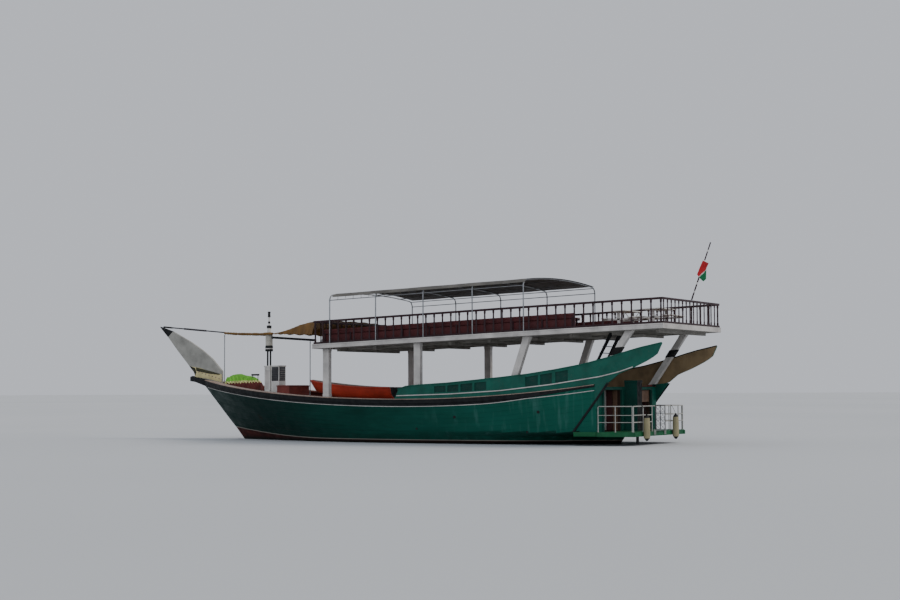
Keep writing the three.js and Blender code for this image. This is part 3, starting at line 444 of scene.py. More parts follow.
# Smooth round tubes along paths, all in one piece
def tubes(name, paths, radius, key, body="boat", replaced=()):
    curve = bpy.data.curves.new(name, "CURVE")
    curve.dimensions = "3D"
    curve.bevel_depth = radius
    curve.bevel_resolution = 4
    curve.use_fill_caps = True
    for path in paths:
        spline = curve.splines.new("POLY")
        spline.points.add(len(path) - 1)
        for point, spot in zip(spline.points, path):
            point.co = (*spot, 1)
        spline.use_smooth = True
    register(newObject(name, curve, [key]), body, replaced)


# One section of a loft at x, from pairs of breadth and height about a line at y and z
def section(x, pairs, side=1, y=0.0, z=0.0):
    return [Vector((x, side * (y + a), z + b)) for a, b in pairs]


# A rounded rectangle from its outer to its inner edge
def softProfile(outer, low, high, inner, soft=0.012):
    return [(outer - soft, low), (outer, low + soft), (outer, high - soft), (outer - soft, high),
            (inner + soft, high), (inner, high - soft), (inner, low + soft), (inner + soft, low)]


def tableAt(table, x):
    return float(np.interp(x, [a for a, _ in table], [b for _, b in table]))


def spread(start, end, count):
    return [start + (end - start) * i / count for i in range(count + 1)]


def smoothStep(value, low, high):
    share = min(1, max(0, (value - low) / (high - low)))
    return share * share * (3 - 2 * share)


# Sides of the boat, each with the sign that Y has there
sides = {"port": 1, "starboard": -1}

# Lines of the hull, in metres, as the frame has them
hull = {
    "sternX": -6.2, "bowX": 15.18, "stemX": 15.6, "half": 3.25, "knuckle": 0.5, "water": 0.35,
    "strakes": 17, "groove": 0.007, "columns": 150,
    "sheerX": 2.5, "sheerLow": 1.85, "riseFore": 0.0055, "riseAft": 0.0073, "wideX": 2,
    "deckDown": 0.3, "deckUp": 0.2,
    "roomX": -4.6, "roomIn": 0.65, "roomOut": 2.33, "roomFloor": 0.52, "roomTop": 2.18,
}

# Each station: its x at the rail and at the keel, the heights of the keel and of the rake's upper end, the
# half breadths at the water and at the knuckle, and how hollow it is below the water
stations = np.array([
    [-6.2, -4.9, -1.4, 0.5, 0.11, 2.9, 1.3],
    [-5.3, -4.5, -1.45, 0.5, 0.8, 2.96, 1.9],
    [-4.0, -3.8, -1.48, 0.5, 1.85, 2.98, 1.5],
    [-2.0, -2.0, -1.5, 0.5, 2.6, 2.99, 0.9],
    [1.0, 1.0, -1.5, 0.5, 2.9, 3.01, 0.55],
    [4.0, 4.0, -1.5, 0.5, 2.85, 2.92, 0.5],
    [7.0, 6.9, -1.49, 0.5, 2.45, 2.55, 0.6],
    [9.5, 8.9, -1.46, 2.5, 1.78, 1.88, 0.8],
    [11.5, 10.2, -1.42, 2.5, 1.08, 1.18, 1.0],
    [13.2, 11.2, -1.36, 2.5, 0.52, 0.6, 1.1],
    [14.4, 11.7, -1.28, 2.5, 0.22, 0.26, 1.1],
    [15.18, 11.98, -1.2, 2.5, 0.075, 0.08, 1.0],
])


def sheerZ(x):
    d = x - hull["sheerX"]
    return hull["sheerLow"] + (hull["riseFore"] if d > 0 else hull["riseAft"]) * d * d


def sheerHalf(x):
    wideX = hull["wideX"]
    if x > wideX:
        return hull["half"] * (1 - min(1, (x - wideX) / (hull["stemX"] - wideX)) ** 2.83)
    return hull["half"] - 0.3 * ((wideX - x) / 11) ** 1.6


def deckZ(x):
    return sheerZ(x) - hull["deckDown"] + hull["deckUp"] * smoothStep(-x, 1.0, 6.2)


# One cubic through each station and its neighbours
def stationAt(x):
    xs = stations[:, 0]
    i = int(min(len(xs) - 1, max(1, np.searchsorted(xs, x, side="right"))))
    before = i - 2 if i > 1 else i
    after = i + 1 if i + 1 < len(xs) else i - 1
    x0, x1 = xs[i - 1], xs[i]
    xb = xs[i - 2] if i > 1 else x1
    xa = xs[i + 1] if i + 1 < len(xs) else x0
    wb = (x1 - x0) / 2 / (x0 - xb)
    wa = (x1 - x0) / 2 / (xa - x1)
    p = (x - x0) / (x1 - x0)
    q, r = p * p, p * p * p
    value = (-wb * r + 2 * wb * q - wb * p) * stations[before]
    value = value + ((1 + wb) * r + (-1.5 - 2 * wb) * q + (-0.5 + wb) * p + 1) * stations[i - 1]
    value = value + ((-1 - wa) * r + (1.5 + wa) * q + 0.5 * p) * stations[i]
    return value + (wa * r - wa * q) * stations[after]


def hullPoint(xTop, z, side=1, inward=0.0):
    _, xKeel, zKeel, rakeTop, halfWater, halfKnuckle, hollow = stationAt(xTop)
    topZ = deckZ(xTop)
    upright = min(rakeTop, topZ)
    x = xTop + (xKeel - xTop) * max(0, (upright - z) / (upright - zKeel))
    keelHalf = min(0.11, halfWater)
    if z < hull["water"]:
        share = max(0, (z - zKeel) / (hull["water"] - zKeel))
        y = keelHalf + (halfWater - keelHalf) * share ** hollow
    elif z < hull["knuckle"]:
        y = halfWater + (halfKnuckle - halfWater) * (z - hull["water"]) / (hull["knuckle"] - hull["water"])
    else:
        share = (z - hull["knuckle"]) / (topZ - hull["knuckle"])
        y = halfKnuckle + (sheerHalf(xTop) - halfKnuckle) * share ** 0.8
    return Vector((x, side * max(0.01, y - inward), z))


# Half breadth of the finished side where the hull has that x and z
def hullHalf(x, z):
    low, high = hull["sternX"], hull["bowX"]
    for _ in range(24):
        middle = (low + high) / 2
        if hullPoint(middle, z).x < x:
            low = middle
        else:
            high = middle
    return hullPoint(low, z).y


# Upper deck: it rises aft, and narrows aft of taperX
upperDeck = {
    "front": 6.918, "aft": -9.09, "frontZ": 4.19, "rise": 0.535, "long": 16.008, "half": 3.4, "taperX": -1,
    "taperLong": 8.09, "taper": 0.32, "thick": 0.20, "plank": 0.17, "groove": 0.012,
    "hatchLow": (-6.47, 0.94, 4.2), "hatchHigh": (-5.5, 1.86, 5.0),
    "beamFore": 6.2, "beamAft": -8.6, "beams": 8, "beamHalf": 2.45, "stringers": (-1.75, -0.6, 0.6, 1.75),
}


def upperHalf(x):
    s = max(0, (upperDeck["taperX"] - x) / upperDeck["taperLong"])
    return upperDeck["half"] - upperDeck["taper"] * s * s


def upperTop(x):
    return upperDeck["frontZ"] + upperDeck["rise"] * (upperDeck["front"] - x) / upperDeck["long"]


# Where things stand on the upper deck
def deckLine(x):
    return upperTop(x) + 0.0003


# Hull skin: strakes with a groove between each, a planked deck, and two rooms cut in at the stern whose walls
# are near-black as painted shade
def makeHull():
    count = hull["strakes"]
    levels = []
    for k in range(count):
        levels += [(k, hull["groove"]), (k + 0.05, 0), (k + 0.5, 0), (k + 0.95, 0)]
    levels.append((count, 0))
    levels[0] = (0, 0)

    def sideOf(xTop, side):
        zKeel = stationAt(xTop)[2]
        topZ = deckZ(xTop)
        return [hullPoint(xTop, topZ + (zKeel - topZ) * k / count, side, inward) for k, inward in levels]

    def ringAt(xTop):
        port = sideOf(xTop, 1)
        starboard = sideOf(xTop, -1)
        across = [port[-1].lerp(starboard[-1], t) for t in (0.25, 0.5, 0.75)]
        deck = [starboard[0].lerp(port[0], t / 8) for t in range(1, 8)]
        return port + across + starboard[::-1] + deck

    rows = len(levels) - 1
    indexOf = [0] * rows + [0] * 4 + [0] * rows + [1] * 8
    xs = spread(hull["sternX"], hull["bowX"], hull["columns"])
    bm = bmesh.new()
    addLoft(bm, xs, ringAt, indexOf, caps=False)
    for x in (xs[0], xs[-1]):
        port, starboard = sideOf(x, 1), sideOf(x, -1)
        addLoft(bm, spread(0, 1, 8), lambda t: [a.lerp(b, t) for a, b in zip(port, starboard)], closed=False)
    keys = ["hullPaint", "deckBrown", "cabinDark"]
    piece = finishPiece("hull_skin", bm, keys, replaced=["hull"], angle=28)
    # The rooms' cut walls take the near-black brown: painted shade inside them
    rooms = bmesh.new()
    for side in sides.values():
        low, high = sorted((hull["roomIn"] * side, hull["roomOut"] * side))
        addBox(rooms, (-6.4, low, hull["roomFloor"]), (hull["roomX"], high, hull["roomTop"]), 2)
    cutOut(piece, "rooms", rooms, keys)


makeHull()
print("hull done")


# Gunwale: black rubbing band, pale cap, red-brown inner wall
gunwale = {"band": 0.2, "out": 0.055, "cap": 0.45, "thick": 0.07, "wall": 0.09, "lip": 0.012}


def makeGunwale(name, side):
    def ringAt(x):
        y, z = sheerHalf(x), sheerZ(x)
        floor = deckZ(x) + 0.0003
        foot = max(floor + 0.001, z - gunwale["band"])
        capIn = min(gunwale["cap"], y * 0.7)
        wallIn = min(gunwale["wall"], y * 0.4)
        edge = gunwale["lip"]
        out = gunwale["out"]
        points = [
            (y, floor), (y, foot), (y + out - edge, foot), (y + out, foot + edge), (y + out, z - 0.03),
            (y + out + 0.012, z - 0.028), (y + out + 0.012, z - edge / 2), (y + out, z),
            (y - capIn + edge, z), (y - capIn, z - edge), (y - capIn, z - gunwale["thick"]),
            (y - wallIn, z - gunwale["thick"]), (y - wallIn, floor),
        ]
        return section(x, points, side)

    indexOf = [0, 0, 0, 0, 0, 1, 1, 1, 1, 2, 2, 2, 0]
    bm = bmesh.new()
    addLoft(bm, spread(hull["sternX"], hull["bowX"], 110), ringAt, indexOf)
    finishPiece(f"gunwale_band_{name}", bm, ["blackPaint", "capPaint", "innerRed"],
                replaced=[f"gunwale_{name}"], angle=30)


for name, side in sides.items():
    makeGunwale(name, side)


# Thin pale moulding under the black band, on both sides
paleLine = {"below": 0.225, "deep": 0.028, "out": 0.014, "gap": 0.0005}


def makePaleLines():
    deep, out = paleLine["deep"], paleLine["out"]
    corners = ((0, 0), (0, out), (deep, out), (deep, 0))
    bm = bmesh.new()
    for side in sides.values():
        def ringAt(x):
            top = min(deckZ(x) - 0.004, sheerZ(x) - paleLine["below"])
            return [hullPoint(x, top - drop, side, -paleLine["gap"] - far) for drop, far in corners]
        addLoft(bm, spread(hull["sternX"] + 0.02, 14.9, 100), ringAt)
    finishPiece("pale_line", bm, "greyPaint")


makePaleLines()


# Drain pipes and discs low on the side, each with its x, z and radius
drains = [
    (0.04, 1.11, 0.055), (-3.75, 1.32, 0.06), (-4.76, 0.40, 0.05), (-3.2, 0.52, 0.045), (1.9, 0.62, 0.045),
]


def makeDrains():
    bm = bmesh.new()
    for x, z, radius in drains:
        for side in sides.values():
            spot = hullPoint(x, z, side, 0.01)
            profile = [(0, 0.022), (radius * 0.6, 0.022), (radius * 0.65, 0.032), (radius, 0.03),
                       (radius, 0.0)]
            addTurned(bm, profile, spot, Vector((0, side, 0)), 16)
    finishPiece("drain_rings", bm, "blackRubber", bevel=0.002)


makeDrains()


# Stem: painted blade with a raised ornament at its foot, black head and tip
stem = {"root": 15.181, "headEnd": 16.25, "headHalf": 0.27, "taper": 0.6, "bladeHalf": 0.06, "tipHalf": 0.075}


def makeStem():
    root, bow, headEnd = stem["root"], hull["bowX"], stem["headEnd"]
    head = [(root, deckZ(bow)), (15.9, 2.64), (headEnd, 2.68), (headEnd, 2.9), (15.85, 2.85),
            (root, sheerZ(bow))]
    bm = bmesh.new()
    addSide(bm, head, -stem["headHalf"], stem["headHalf"])
    for vert in bm.verts:
        vert.co.y *= 1 - stem["taper"] * (vert.co.x - root) / (headEnd - root)
    addRod(bm, (15.9, 0, 2.79), (16.22, 0, 2.82), 0.115, 20)
    finishPiece("stem_head_block", bm, "blackPaint", replaced=["stem_head"], bevel=0.02)

    blade = [
        (14.38, deckZ(14.38) + 0.001), (root, deckZ(bow) + 0.001), (root, sheerZ(bow) + 0.001),
        (15.85, 2.851), (15.96, 2.87), (16.05, 3.11), (16.34, 3.4), (17.02, 4.1), (17.655, 4.805),
        (17.355, 5.06), (16.28, 4.55), (15.55, 4.13), (14.97, 3.72), (14.39, 3.15),
    ]
    bm = bmesh.new()
    addSide(bm, blade, -stem["bladeHalf"], stem["bladeHalf"])
    finishPiece("stem_blade_board", bm, "stemPaint", replaced=["stem_blade"], bevel=0.015)

    bm = bmesh.new()
    addSide(bm, [(17.6553, 4.8053), (18.16, 5.31), (17.3553, 5.0603)], -stem["tipHalf"], stem["tipHalf"])
    finishPiece("stem_tip_cap", bm, "blackPaint", replaced=["stem_tip"], bevel=0.02)

    ornament = [
        (0, [(16.32, 3.385), (15.68, 3.3), (15.18, 3.16), (14.4, 2.98), (14.4, 2.62), (15.17, 2.78),
             (15.86, 2.87), (15.97, 2.89), (16.05, 3.11)]),
        (1, [(16.33, 3.40), (15.98, 3.30), (15.9, 3.1), (15.97, 2.93), (16.05, 3.11)]),
        (2, [(16.18, 3.30), (16.02, 3.25), (15.97, 3.10), (16.02, 3.05)]),
        (2, [(15.92, 3.33), (15.18, 3.17), (14.5, 3.01), (14.5, 2.99), (15.2, 3.07), (15.9, 3.2)]),
        (1, [(15.9, 3.2), (15.2, 3.07), (14.5, 2.99), (14.5, 2.97), (15.2, 3.04), (15.88, 3.165)]),
    ]
    bm = bmesh.new()
    base = stem["bladeHalf"] + 0.0003
    for layer, (index, points) in enumerate(ornament):
        top = 0.068 + 0.005 * layer
        for side in sides.values():
            addSide(bm, points, *sorted((side * base, side * top)), index)
    boss = [(0, 0.085), (0.03, 0.083), (0.035, 0.075), (0.035, 0.06)]
    for side in sides.values():
        for k in range(7):
            addTurned(bm, boss, (14.55 + 0.2 * k, 0, 2.8 + 0.052 * k), Vector((0, side, 0)), 10, 3)
    finishPiece("stem_ornament", bm, ["creamPaint", "blackPaint", "oliveDark", "capPaint"])


makeStem()
print("stem done")


# Bulwark with its wing, and sunk panels in its outer face; the panel floors are a darker green, painted shade
# in the recesses
bulwark = {
    "front": 2.86, "tip": -8.98, "thick": 0.09, "panelDeep": 0.035, "footUp": 0.225, "topDown": 0.075,
    "panels": [(0.40, 0.95), (-0.20, 0.33), (-0.84, -0.28), (-1.48, -0.92),
               (-3.78, -3.20), (-4.39, -3.87), (-5.08, -4.52)],
}
bulwarkTop = [
    (-8.98, 3.96), (-8.1, 3.78), (-7.5, 3.625), (-6.9, 3.45), (-5.7, 3.165), (-4.5, 2.966), (-3.3, 2.80),
    (-2.1, 2.68), (-0.9, 2.575), (0.3, 2.475), (1.5, 2.41), (2.31, 2.35), (2.71, 2.22), (2.86, 1.86),
]
wingBottom = [
    (-8.98, 3.96), (-8.93, 3.74), (-8.77, 3.54), (-8.5, 3.36), (-8.17, 3.2), (-7.85, 3.05), (-7.52, 2.92),
    (-7.22, 2.81), (-6.78, 2.47), (-6.2, 2.403),
]


def bulwarkFoot(x):
    return tableAt(wingBottom, x) if x < hull["sternX"] else sheerZ(x) + 0.0003


def makeBulwark(name, side):
    edges = {e for pair in bulwark["panels"] for e in pair}
    xs = edges.union(spread(bulwark["tip"], bulwark["front"], 60))
    xs = sorted(x for x in xs if all(x == e or abs(x - e) > 0.03 for e in edges))

    def ringAt(x):
        low, high = bulwarkFoot(x), max(tableAt(bulwarkTop, x), bulwarkFoot(x) + 0.003)
        deep = high - low
        panelFoot = min(0.42, bulwark["footUp"] / deep)
        panelTop = max(0.7, 1 - bulwark["topDown"] / deep)
        rows = [0, panelFoot / 2, panelFoot, panelTop, (1 + panelTop) / 2, 1]
        return section(x, [(sheerHalf(x), deep * row) for row in rows], side, z=low)

    bm = bmesh.new()
    new = addLoft(bm, xs, ringAt, closed=False)
    panelFaces = []
    for face in new:
        centre = face.calc_center_median()
        low, high = bulwarkFoot(centre.x), tableAt(bulwarkTop, centre.x)
        inRow = low + bulwark["footUp"] < centre.z < high - bulwark["topDown"]
        if inRow and any(a < centre.x < b for a, b in bulwark["panels"]):
            panelFaces.append(face)
    bmesh.ops.recalc_face_normals(bm, faces=bm.faces)
    if new[0].normal.y * side < 0:
        bmesh.ops.reverse_faces(bm, faces=bm.faces)
    for low, high in bulwark["panels"]:
        group = [f for f in panelFaces if f.is_valid and low < f.calc_center_median().x < high]
        bmesh.ops.inset_region(bm, faces=group, thickness=0.012, depth=0)
        bmesh.ops.inset_region(bm, faces=group, thickness=0.006, depth=-bulwark["panelDeep"])
        # The panel floors take the darker green: painted shade in the recess
        for face in group:
            face.material_index = 2
    outer = [*bm.faces, *bm.edges, *bm.verts]
    made = bmesh.ops.extrude_face_region(bm, geom=outer, use_keep_orig=True)["geom"]
    inner = {v for v in made if isinstance(v, bmesh.types.BMVert)}
    for vert in inner:
        vert.co.y = side * (sheerHalf(vert.co.x) - bulwark["thick"])
    for face in bm.faces:
        if all(v in inner for v in face.verts):
            face.material_index = 1
    finishPiece(f"bulwark_boards_{name}", bm, ["bulwarkPaint", "wingBrown", "panelGreen"],
                replaced=[f"bulwark_{name}"], angle=30, bevel=0.008)


for name, side in sides.items():
    makeBulwark(name, side)


# Pale line at the bulwark's foot that runs out along the wing, and a rail on its top edge, black to starboard
def makeBulwarkTrim():
    bm = bmesh.new()
    foot = [(-8.93, 3.80), (-8.66, 3.47), (-7.9, 3.09), (-7.22, 2.875), (-6.44, 2.70), (-4.3, 2.40),
            (-2.08, 2.17), (0.22, 2.045), (2.8, 1.975)]
    top = bulwarkTop[:-1]
    strip = [(0.0003, -0.02), (0.03, -0.02), (0.036, 0), (0.03, 0.02), (0.0003, 0.02)]
    cap = [(0.02, 0), (0.022, 0.03), (0.01, 0.042), (-0.1, 0.042), (-0.112, 0.03), (-0.11, 0)]
    for side in sides.values():
        def footRing(x):
            return section(x, strip, side, sheerHalf(x), tableAt(foot, x))

        def topRing(x):
            return section(x, cap, side, sheerHalf(x), tableAt(top, x) + 0.0005)

        addLoft(bm, spread(-7.8, 2.75, 60), footRing, [0] * 5)
        addLoft(bm, spread(-8.95, 2.7, 60), topRing, [1 if side > 0 else 2] * 6)
    finishPiece("bulwark_trim", bm, ["greyPaint", "bulwarkPaint", "blackPaint"])


makeBulwarkTrim()


# Raked moulding and foot ledge at the end of each side, with the small side wall behind the moulding
quarter = {
    "path": [(-5.24, 2.975, 0.55), (-6.2, 3.022, 1.73), (-6.76, 3.044, 2.44)],
    "moulding": [(-0.055, -0.004), (0.055, -0.004), (0.055, 0.03), (0.035, 0.042), (-0.035, 0.042),
                 (-0.055, 0.03)],
    "ledge": [(0, 0.37), (0.066, 0.37), (0.072, 0.38), (0.072, 0.53), (0.062, 0.543), (0, 0.543)],
    "ledgeAft": -6.19, "ledgeFore": -5.26, "wall": [(-6.2005, 1.73), (-6.2005, 2.4), (-6.77, 2.469)],
}


def makeQuarter(name, side):
    def mouldingRing(spot):
        x, y, z = spot
        return [Vector((x + a, side * (y + b), z)) for a, b in quarter["moulding"]]

    def ledgeRing(x):
        return section(x, quarter["ledge"], side, hullHalf(x, 0.52) + 0.001)

    bm = bmesh.new()
    addLoft(bm, quarter["path"], mouldingRing)
    addLoft(bm, spread(quarter["ledgeAft"], quarter["ledgeFore"], 6), ledgeRing, [1] * 6)
    made = addSide(bm, quarter["wall"], -0.09, -0.001, 2)
    for vert in made:
        vert.co.y = side * (sheerHalf(vert.co.x) + vert.co.y)
    finishPiece(f"quarter_boards_{name}", bm, ["blackPaint", "platformPaint", "bulwarkPaint"],
                replaced=[f"quarter_moulding_{name}"])


for name, side in sides.items():
    makeQuarter(name, side)
print("bulwarks done")


# Pillars of the upper deck, with the places of the foot and head along the boat
pillars = {
    "a": {"foot": 6.49, "head": 6.49, "farShift": -0.71}, "b": {"foot": 1.84, "head": 1.84},
    "c": {"foot": -2.4, "head": -3.22}, "d": {"foot": -6.15, "head": -7.6},
    "wide": 0.30, "deep": 0.23, "plinth": 0.009, "under": 0.2006, "bands": [(0.0, 0.055), (0.94, 1.0)],
    "lashing": {"from": 0.55, "step": 0.012, "turns": 12, "rope": 0.012},
}


def makePillar(letter, name, side):
    shift = pillars[letter].get("farShift", 0) if side < 0 else 0
    foot, head = pillars[letter]["foot"] + shift, pillars[letter]["head"] + shift
    half = pillars["wide"] / 2
    inside = min(sheerHalf(foot), sheerHalf(head - half), upperHalf(head)) - 0.09
    outer = inside - 0.03
    y0, y1 = sorted((side * (outer - pillars["deep"]), side * outer))
    outline = [(x, sheerZ(x) + 0.001) for x in (foot - half, foot + half)]
    outline += [(x, upperTop(x) - pillars["under"]) for x in (head + half, head - half)]

    def levelAt(share, grow):
        left = Vector(outline[0]).lerp(Vector(outline[3]), share)
        right = Vector(outline[1]).lerp(Vector(outline[2]), share)
        return (left.x - grow, left.y), (right.x + grow, right.y)

    bm = bmesh.new()
    addSide(bm, outline, y0, y1)
    plinth = pillars["plinth"]
    for low, high in pillars["bands"]:
        foreAft = levelAt(high, plinth)
        addSide(bm, [*levelAt(low, plinth), foreAft[1], foreAft[0]], y0 - plinth, y1 + plinth)
    finishPiece(f"post_{letter}_{name}", bm, ["greyPaint", "blackPaint"],
                replaced=[f"pillar_{letter}_{name}"], bevel=0.012)
    if letter == "d":
        lashing = pillars["lashing"]
        rope = lashing["rope"]
        wraps = []
        for k in range(lashing["turns"]):
            (ax, az), (bx, bz) = levelAt(lashing["from"] + lashing["step"] * k, rope)
            wraps.append([(ax, y0 - rope, az), (bx, y0 - rope, bz), (bx, y1 + rope, bz + 0.004),
                          (ax, y1 + rope, az + 0.004), (ax, y0 - rope, az + rope)])
        tubes(f"lashing_{letter}_{name}", wraps, rope, "blackRubber")


for letter in "abcd":
    for name, side in sides.items():
        makePillar(letter, name, side)
print("pillars done")


# The upper deck's planks with grooves, its moulded edge, a hatch for the ladder, and beams with stringers;
# the underside and beams are a darker grey than the edge, painted shade under the deck
def makeUpperDeck():
    xs = [upperDeck["front"], 4.5, 2.0, -1.0, *spread(-1.9, upperDeck["aft"], 9)]
    planks = int(3.3 * 2 / upperDeck["plank"])

    def ringAt(x):
        y, z = upperHalf(x), upperTop(x)
        under = z - upperDeck["thick"]
        edge = [(y - 0.02, z), (y, z - 0.02), (y, z - 0.045), (y - 0.018, z - 0.052),
                (y - 0.018, under + 0.05), (y, under + 0.042), (y, under + 0.012), (y - 0.012, under)]
        starboard = [(-a, b) for a, b in edge[::-1]]
        bottom = [(0.8 * y, under), (0, under), (-0.8 * y, under)]
        top = []
        for k in range(1, planks):
            at = -(y - 0.02) + 2 * (y - 0.02) * k / planks
            top += [(at - 0.005, z), (at, z - upperDeck["groove"]), (at + 0.005, z)]
        return section(x, edge + bottom + starboard + top)

    indexOf = [0] * 7 + [1] * 4 + [0] * 7 + [2] * (3 * planks - 2)
    bm = bmesh.new()
    addLoft(bm, xs, ringAt, indexOf)
    deck = finishPiece("deck_boards", bm, ["greyPaint", "underPaint", "deckBrown"], replaced=["upper_deck"],
                       angle=25)
    hatchway = bmesh.new()
    addBox(hatchway, upperDeck["hatchLow"], upperDeck["hatchHigh"])
    cutOut(deck, "hatchway", hatchway, ["greyPaint"])

    bm = bmesh.new()
    xs = spread(upperDeck["beamFore"], upperDeck["beamAft"], upperDeck["beams"])
    for x in xs:
        top = upperTop(x) - upperDeck["thick"]
        addBox(bm, (x - 0.07, -upperDeck["beamHalf"], top - 0.13),
               (x + 0.07, upperDeck["beamHalf"], top + 0.01))
    for y in upperDeck["stringers"]:
        for a, b in zip(xs, xs[1:]):
            reach = (a - b) / 2 - 0.07
            turn = Matrix.Translation(((a + b) / 2, y, upperTop((a + b) / 2) - upperDeck["thick"] - 0.03))
            turn = turn @ Matrix.Rotation(-math.atan2(upperTop(a) - upperTop(b), a - b), 4, "Y")
            addBox(bm, (-reach, -0.035, -0.04), (reach, 0.035, 0.045), 0, turn)
    finishPiece("deck_beams", bm, "underPaint", bevel=0.006)


makeUpperDeck()
print("upper deck done")


# Rails of the upper deck: a rounded top rail, a foot rail and shaped bars
rail = {
    "high": 0.995, "inset": 0.07, "thick": 0.05, "pitch": 0.40, "bar": 0.082, "deep": 0.021, "top": 0.09,
    "foot": 0.08, "cross": {"aft": (-9.04, 2.9468), "front": (6.868, 3.279)},
}


# One bar: square at its ends, thinner and chamfered along its waist
def addBaluster(bm, x, y, low, high, turn=None):
    levels = [(0, 1.0), (0.14, 1.0), (0.18, 0.72), (0.5, 0.8), (0.82, 0.72), (0.86, 1.0), (1, 1.0)]

    def ringAt(k):
        share, grow = levels[k]
        a, b = rail["bar"] / 2 * grow, rail["deep"] * grow
        ring = [(a, b * 0.6), (a * 0.7, b), (-a * 0.7, b), (-a, b * 0.6), (-a, -b * 0.6), (-a * 0.7, -b),
                (a * 0.7, -b), (a, -b * 0.6)]
        if turn:
            ring = [(q, p) for p, q in ring]
        return [Vector((x + p, y + q, low + (high - low) * share)) for p, q in ring]

    addLoft(bm, list(range(len(levels))), ringAt)


def makeSideRail(name, side):
    bm = bmesh.new()
    start, end = upperDeck["aft"] + 0.025, upperDeck["front"] - 0.025
    for low, high in ((0, rail["foot"]), (rail["high"] - rail["top"], rail["high"])):
        def ringAt(x):
            y = upperHalf(x) - rail["inset"]
            return section(x, softProfile(y, low, high, y - rail["thick"]), side, z=deckLine(x))
        addLoft(bm, spread(start, end, 16), ringAt)
    count = round((end - start) / rail["pitch"])
    for x in spread(start + rail["bar"], end - rail["bar"], count):
        y, z = upperHalf(x) - rail["inset"] - rail["thick"] / 2, deckLine(x)
        addBaluster(bm, x, side * y, z + 0.05, z + rail["high"] - 0.05)
    finishPiece(f"upper_rail_{name}", bm, "maroon", replaced=[f"rail_{name}"])


def makeCrossRail(name, x, half):
    bm = bmesh.new()
    z = deckLine(x - rail["thick"] / 2)
    for low, high in ((0, rail["foot"]), (rail["high"] - rail["top"], rail["high"])):
        profile = softProfile(x + rail["thick"] / 2, low, high, x - rail["thick"] / 2)
        addLoft(bm, [-half, half], lambda y: [Vector((a, y, z + b)) for a, b in profile])
    count = round(2 * half / rail["pitch"])
    for y in spread(-half + rail["bar"], half - rail["bar"], count):
        addBaluster(bm, x, y, z + 0.05, z + rail["high"] - 0.05, True)
    finishPiece(f"upper_rail_{name}", bm, "maroon", replaced=[f"rail_{name}"])


for name, side in sides.items():
    makeSideRail(name, side)
for name, (x, half) in rail["cross"].items():
    makeCrossRail(name, x, half)
print("rails done")


# Benches along both sides: slats on frames
bench = {
    "fore": 6.5, "aft": -5.4, "back": 0.19, "soft": 0.006,
    "slats": [
        (0.0, 0.05, 0.52, 0.60), (0.0, 0.045, 0.455, 0.50), (0.06, 0.155, 0.385, 0.42),
        (0.165, 0.26, 0.385, 0.42), (0.27, 0.365, 0.385, 0.42), (0.375, 0.48, 0.385, 0.42),
        (0.455, 0.478, 0.31, 0.38), (0.055, 0.095, 0.02, 0.375), (0.015, 0.04, 0.41, 0.57),
    ],
    "frames": 9, "frame": [(0.012, 0.055, 0, 0.52), (0.42, 0.455, 0, 0.385), (0.05, 0.45, 0.33, 0.384)],
}


# A slat or frame bar has its near and far edge inboard of the bench's back line, then its low and high one
def makeBench(name, side):
    bm = bmesh.new()
    for near, far, low, high in bench["slats"]:
        def ringAt(x):
            y = upperHalf(x) - bench["back"]
            return section(x, softProfile(y - near, low, high, y - far, bench["soft"]), side, z=deckLine(x))
        addLoft(bm, spread(bench["aft"], bench["fore"], 14), ringAt)
    for x in spread(bench["aft"] + 0.12, bench["fore"] - 0.12, bench["frames"]):
        y, z = upperHalf(x) - bench["back"], deckLine(x)
        for near, far, low, high in bench["frame"]:
            y0, y1 = sorted((side * (y - near), side * (y - far)))
            addBox(bm, (x - 0.03, y0, z + low + 0.002), (x + 0.03, y1, z + high), 1)
    finishPiece(f"bench_slats_{name}", bm, ["benchMaroon", "maroon"], replaced=[f"bench_{name}"])


for name, side in sides.items():
    makeBench(name, side)


# Tables with fixed seats: boards with gaps on crossed frames
tables = {
    "places": {"a": -6.2, "b": -7.7}, "half": 0.9, "boardThick": 0.036, "gap": 0.004, "frameY": 0.7,
    "strut": 0.014, "boards": [(-0.40, 0.40, 0.70, 4), (-0.70, -0.45, 0.42, 2), (0.45, 0.70, 0.42, 2)],
    "frame": [(-0.69, 0.69, 0.35, 0.419), (-0.06, 0.06, 0.0, 0.70), (-0.5, 0.5, 0.0, 0.05)],
}


def makeTable(letter, x):
    bm = bmesh.new()
    half, gap = tables["half"], tables["gap"]
    slope = Matrix.Translation((x, 0, deckLine(x)))
    slope = slope @ Matrix.Rotation(math.atan2(upperDeck["rise"], upperDeck["long"]), 4, "Y")
    for start, end, z, count in tables["boards"]:
        edges = spread(start, end, count)
        for a, b in zip(edges, edges[1:]):
            addBox(bm, (a + gap, -half, z), (b - gap, half, z + tables["boardThick"]), 0, slope)
    for y in (-tables["frameY"], tables["frameY"]):
        for a, b, low, high in tables["frame"]:
            addBox(bm, (a, y - 0.024, low), (b, y + 0.024, high), 1, slope)
        for s in (-1, 1):
            foot, head = Vector((s * 0.05, y * 0.96, 0.4)), Vector((s * 0.3, y * 0.96, 0.69))
            addRod(bm, slope @ foot, slope @ head, tables["strut"], 8, 1)
    finishPiece(f"table_boards_{letter}", bm, ["whitePaint", "greyPaint"],
                replaced=[f"picnic_table_{letter}"], bevel=0.006)


for letter, x in tables["places"].items():
    makeTable(letter, x)
print("benches and tables done")


# Canopy: bows with rounded corners, tubes along the boat, flanges at the feet and clamps at the low tubes
canopy = {
    "front": 6.026, "bay": 2.32, "bays": 4, "edge": 6.31, "rise": 0.31, "in": 0.012, "tube": 0.026,
    "camber": 0.15, "drop": 0.27, "round": 0.30, "back": 0.12, "over": 0.06, "cloth": 0.015,
}


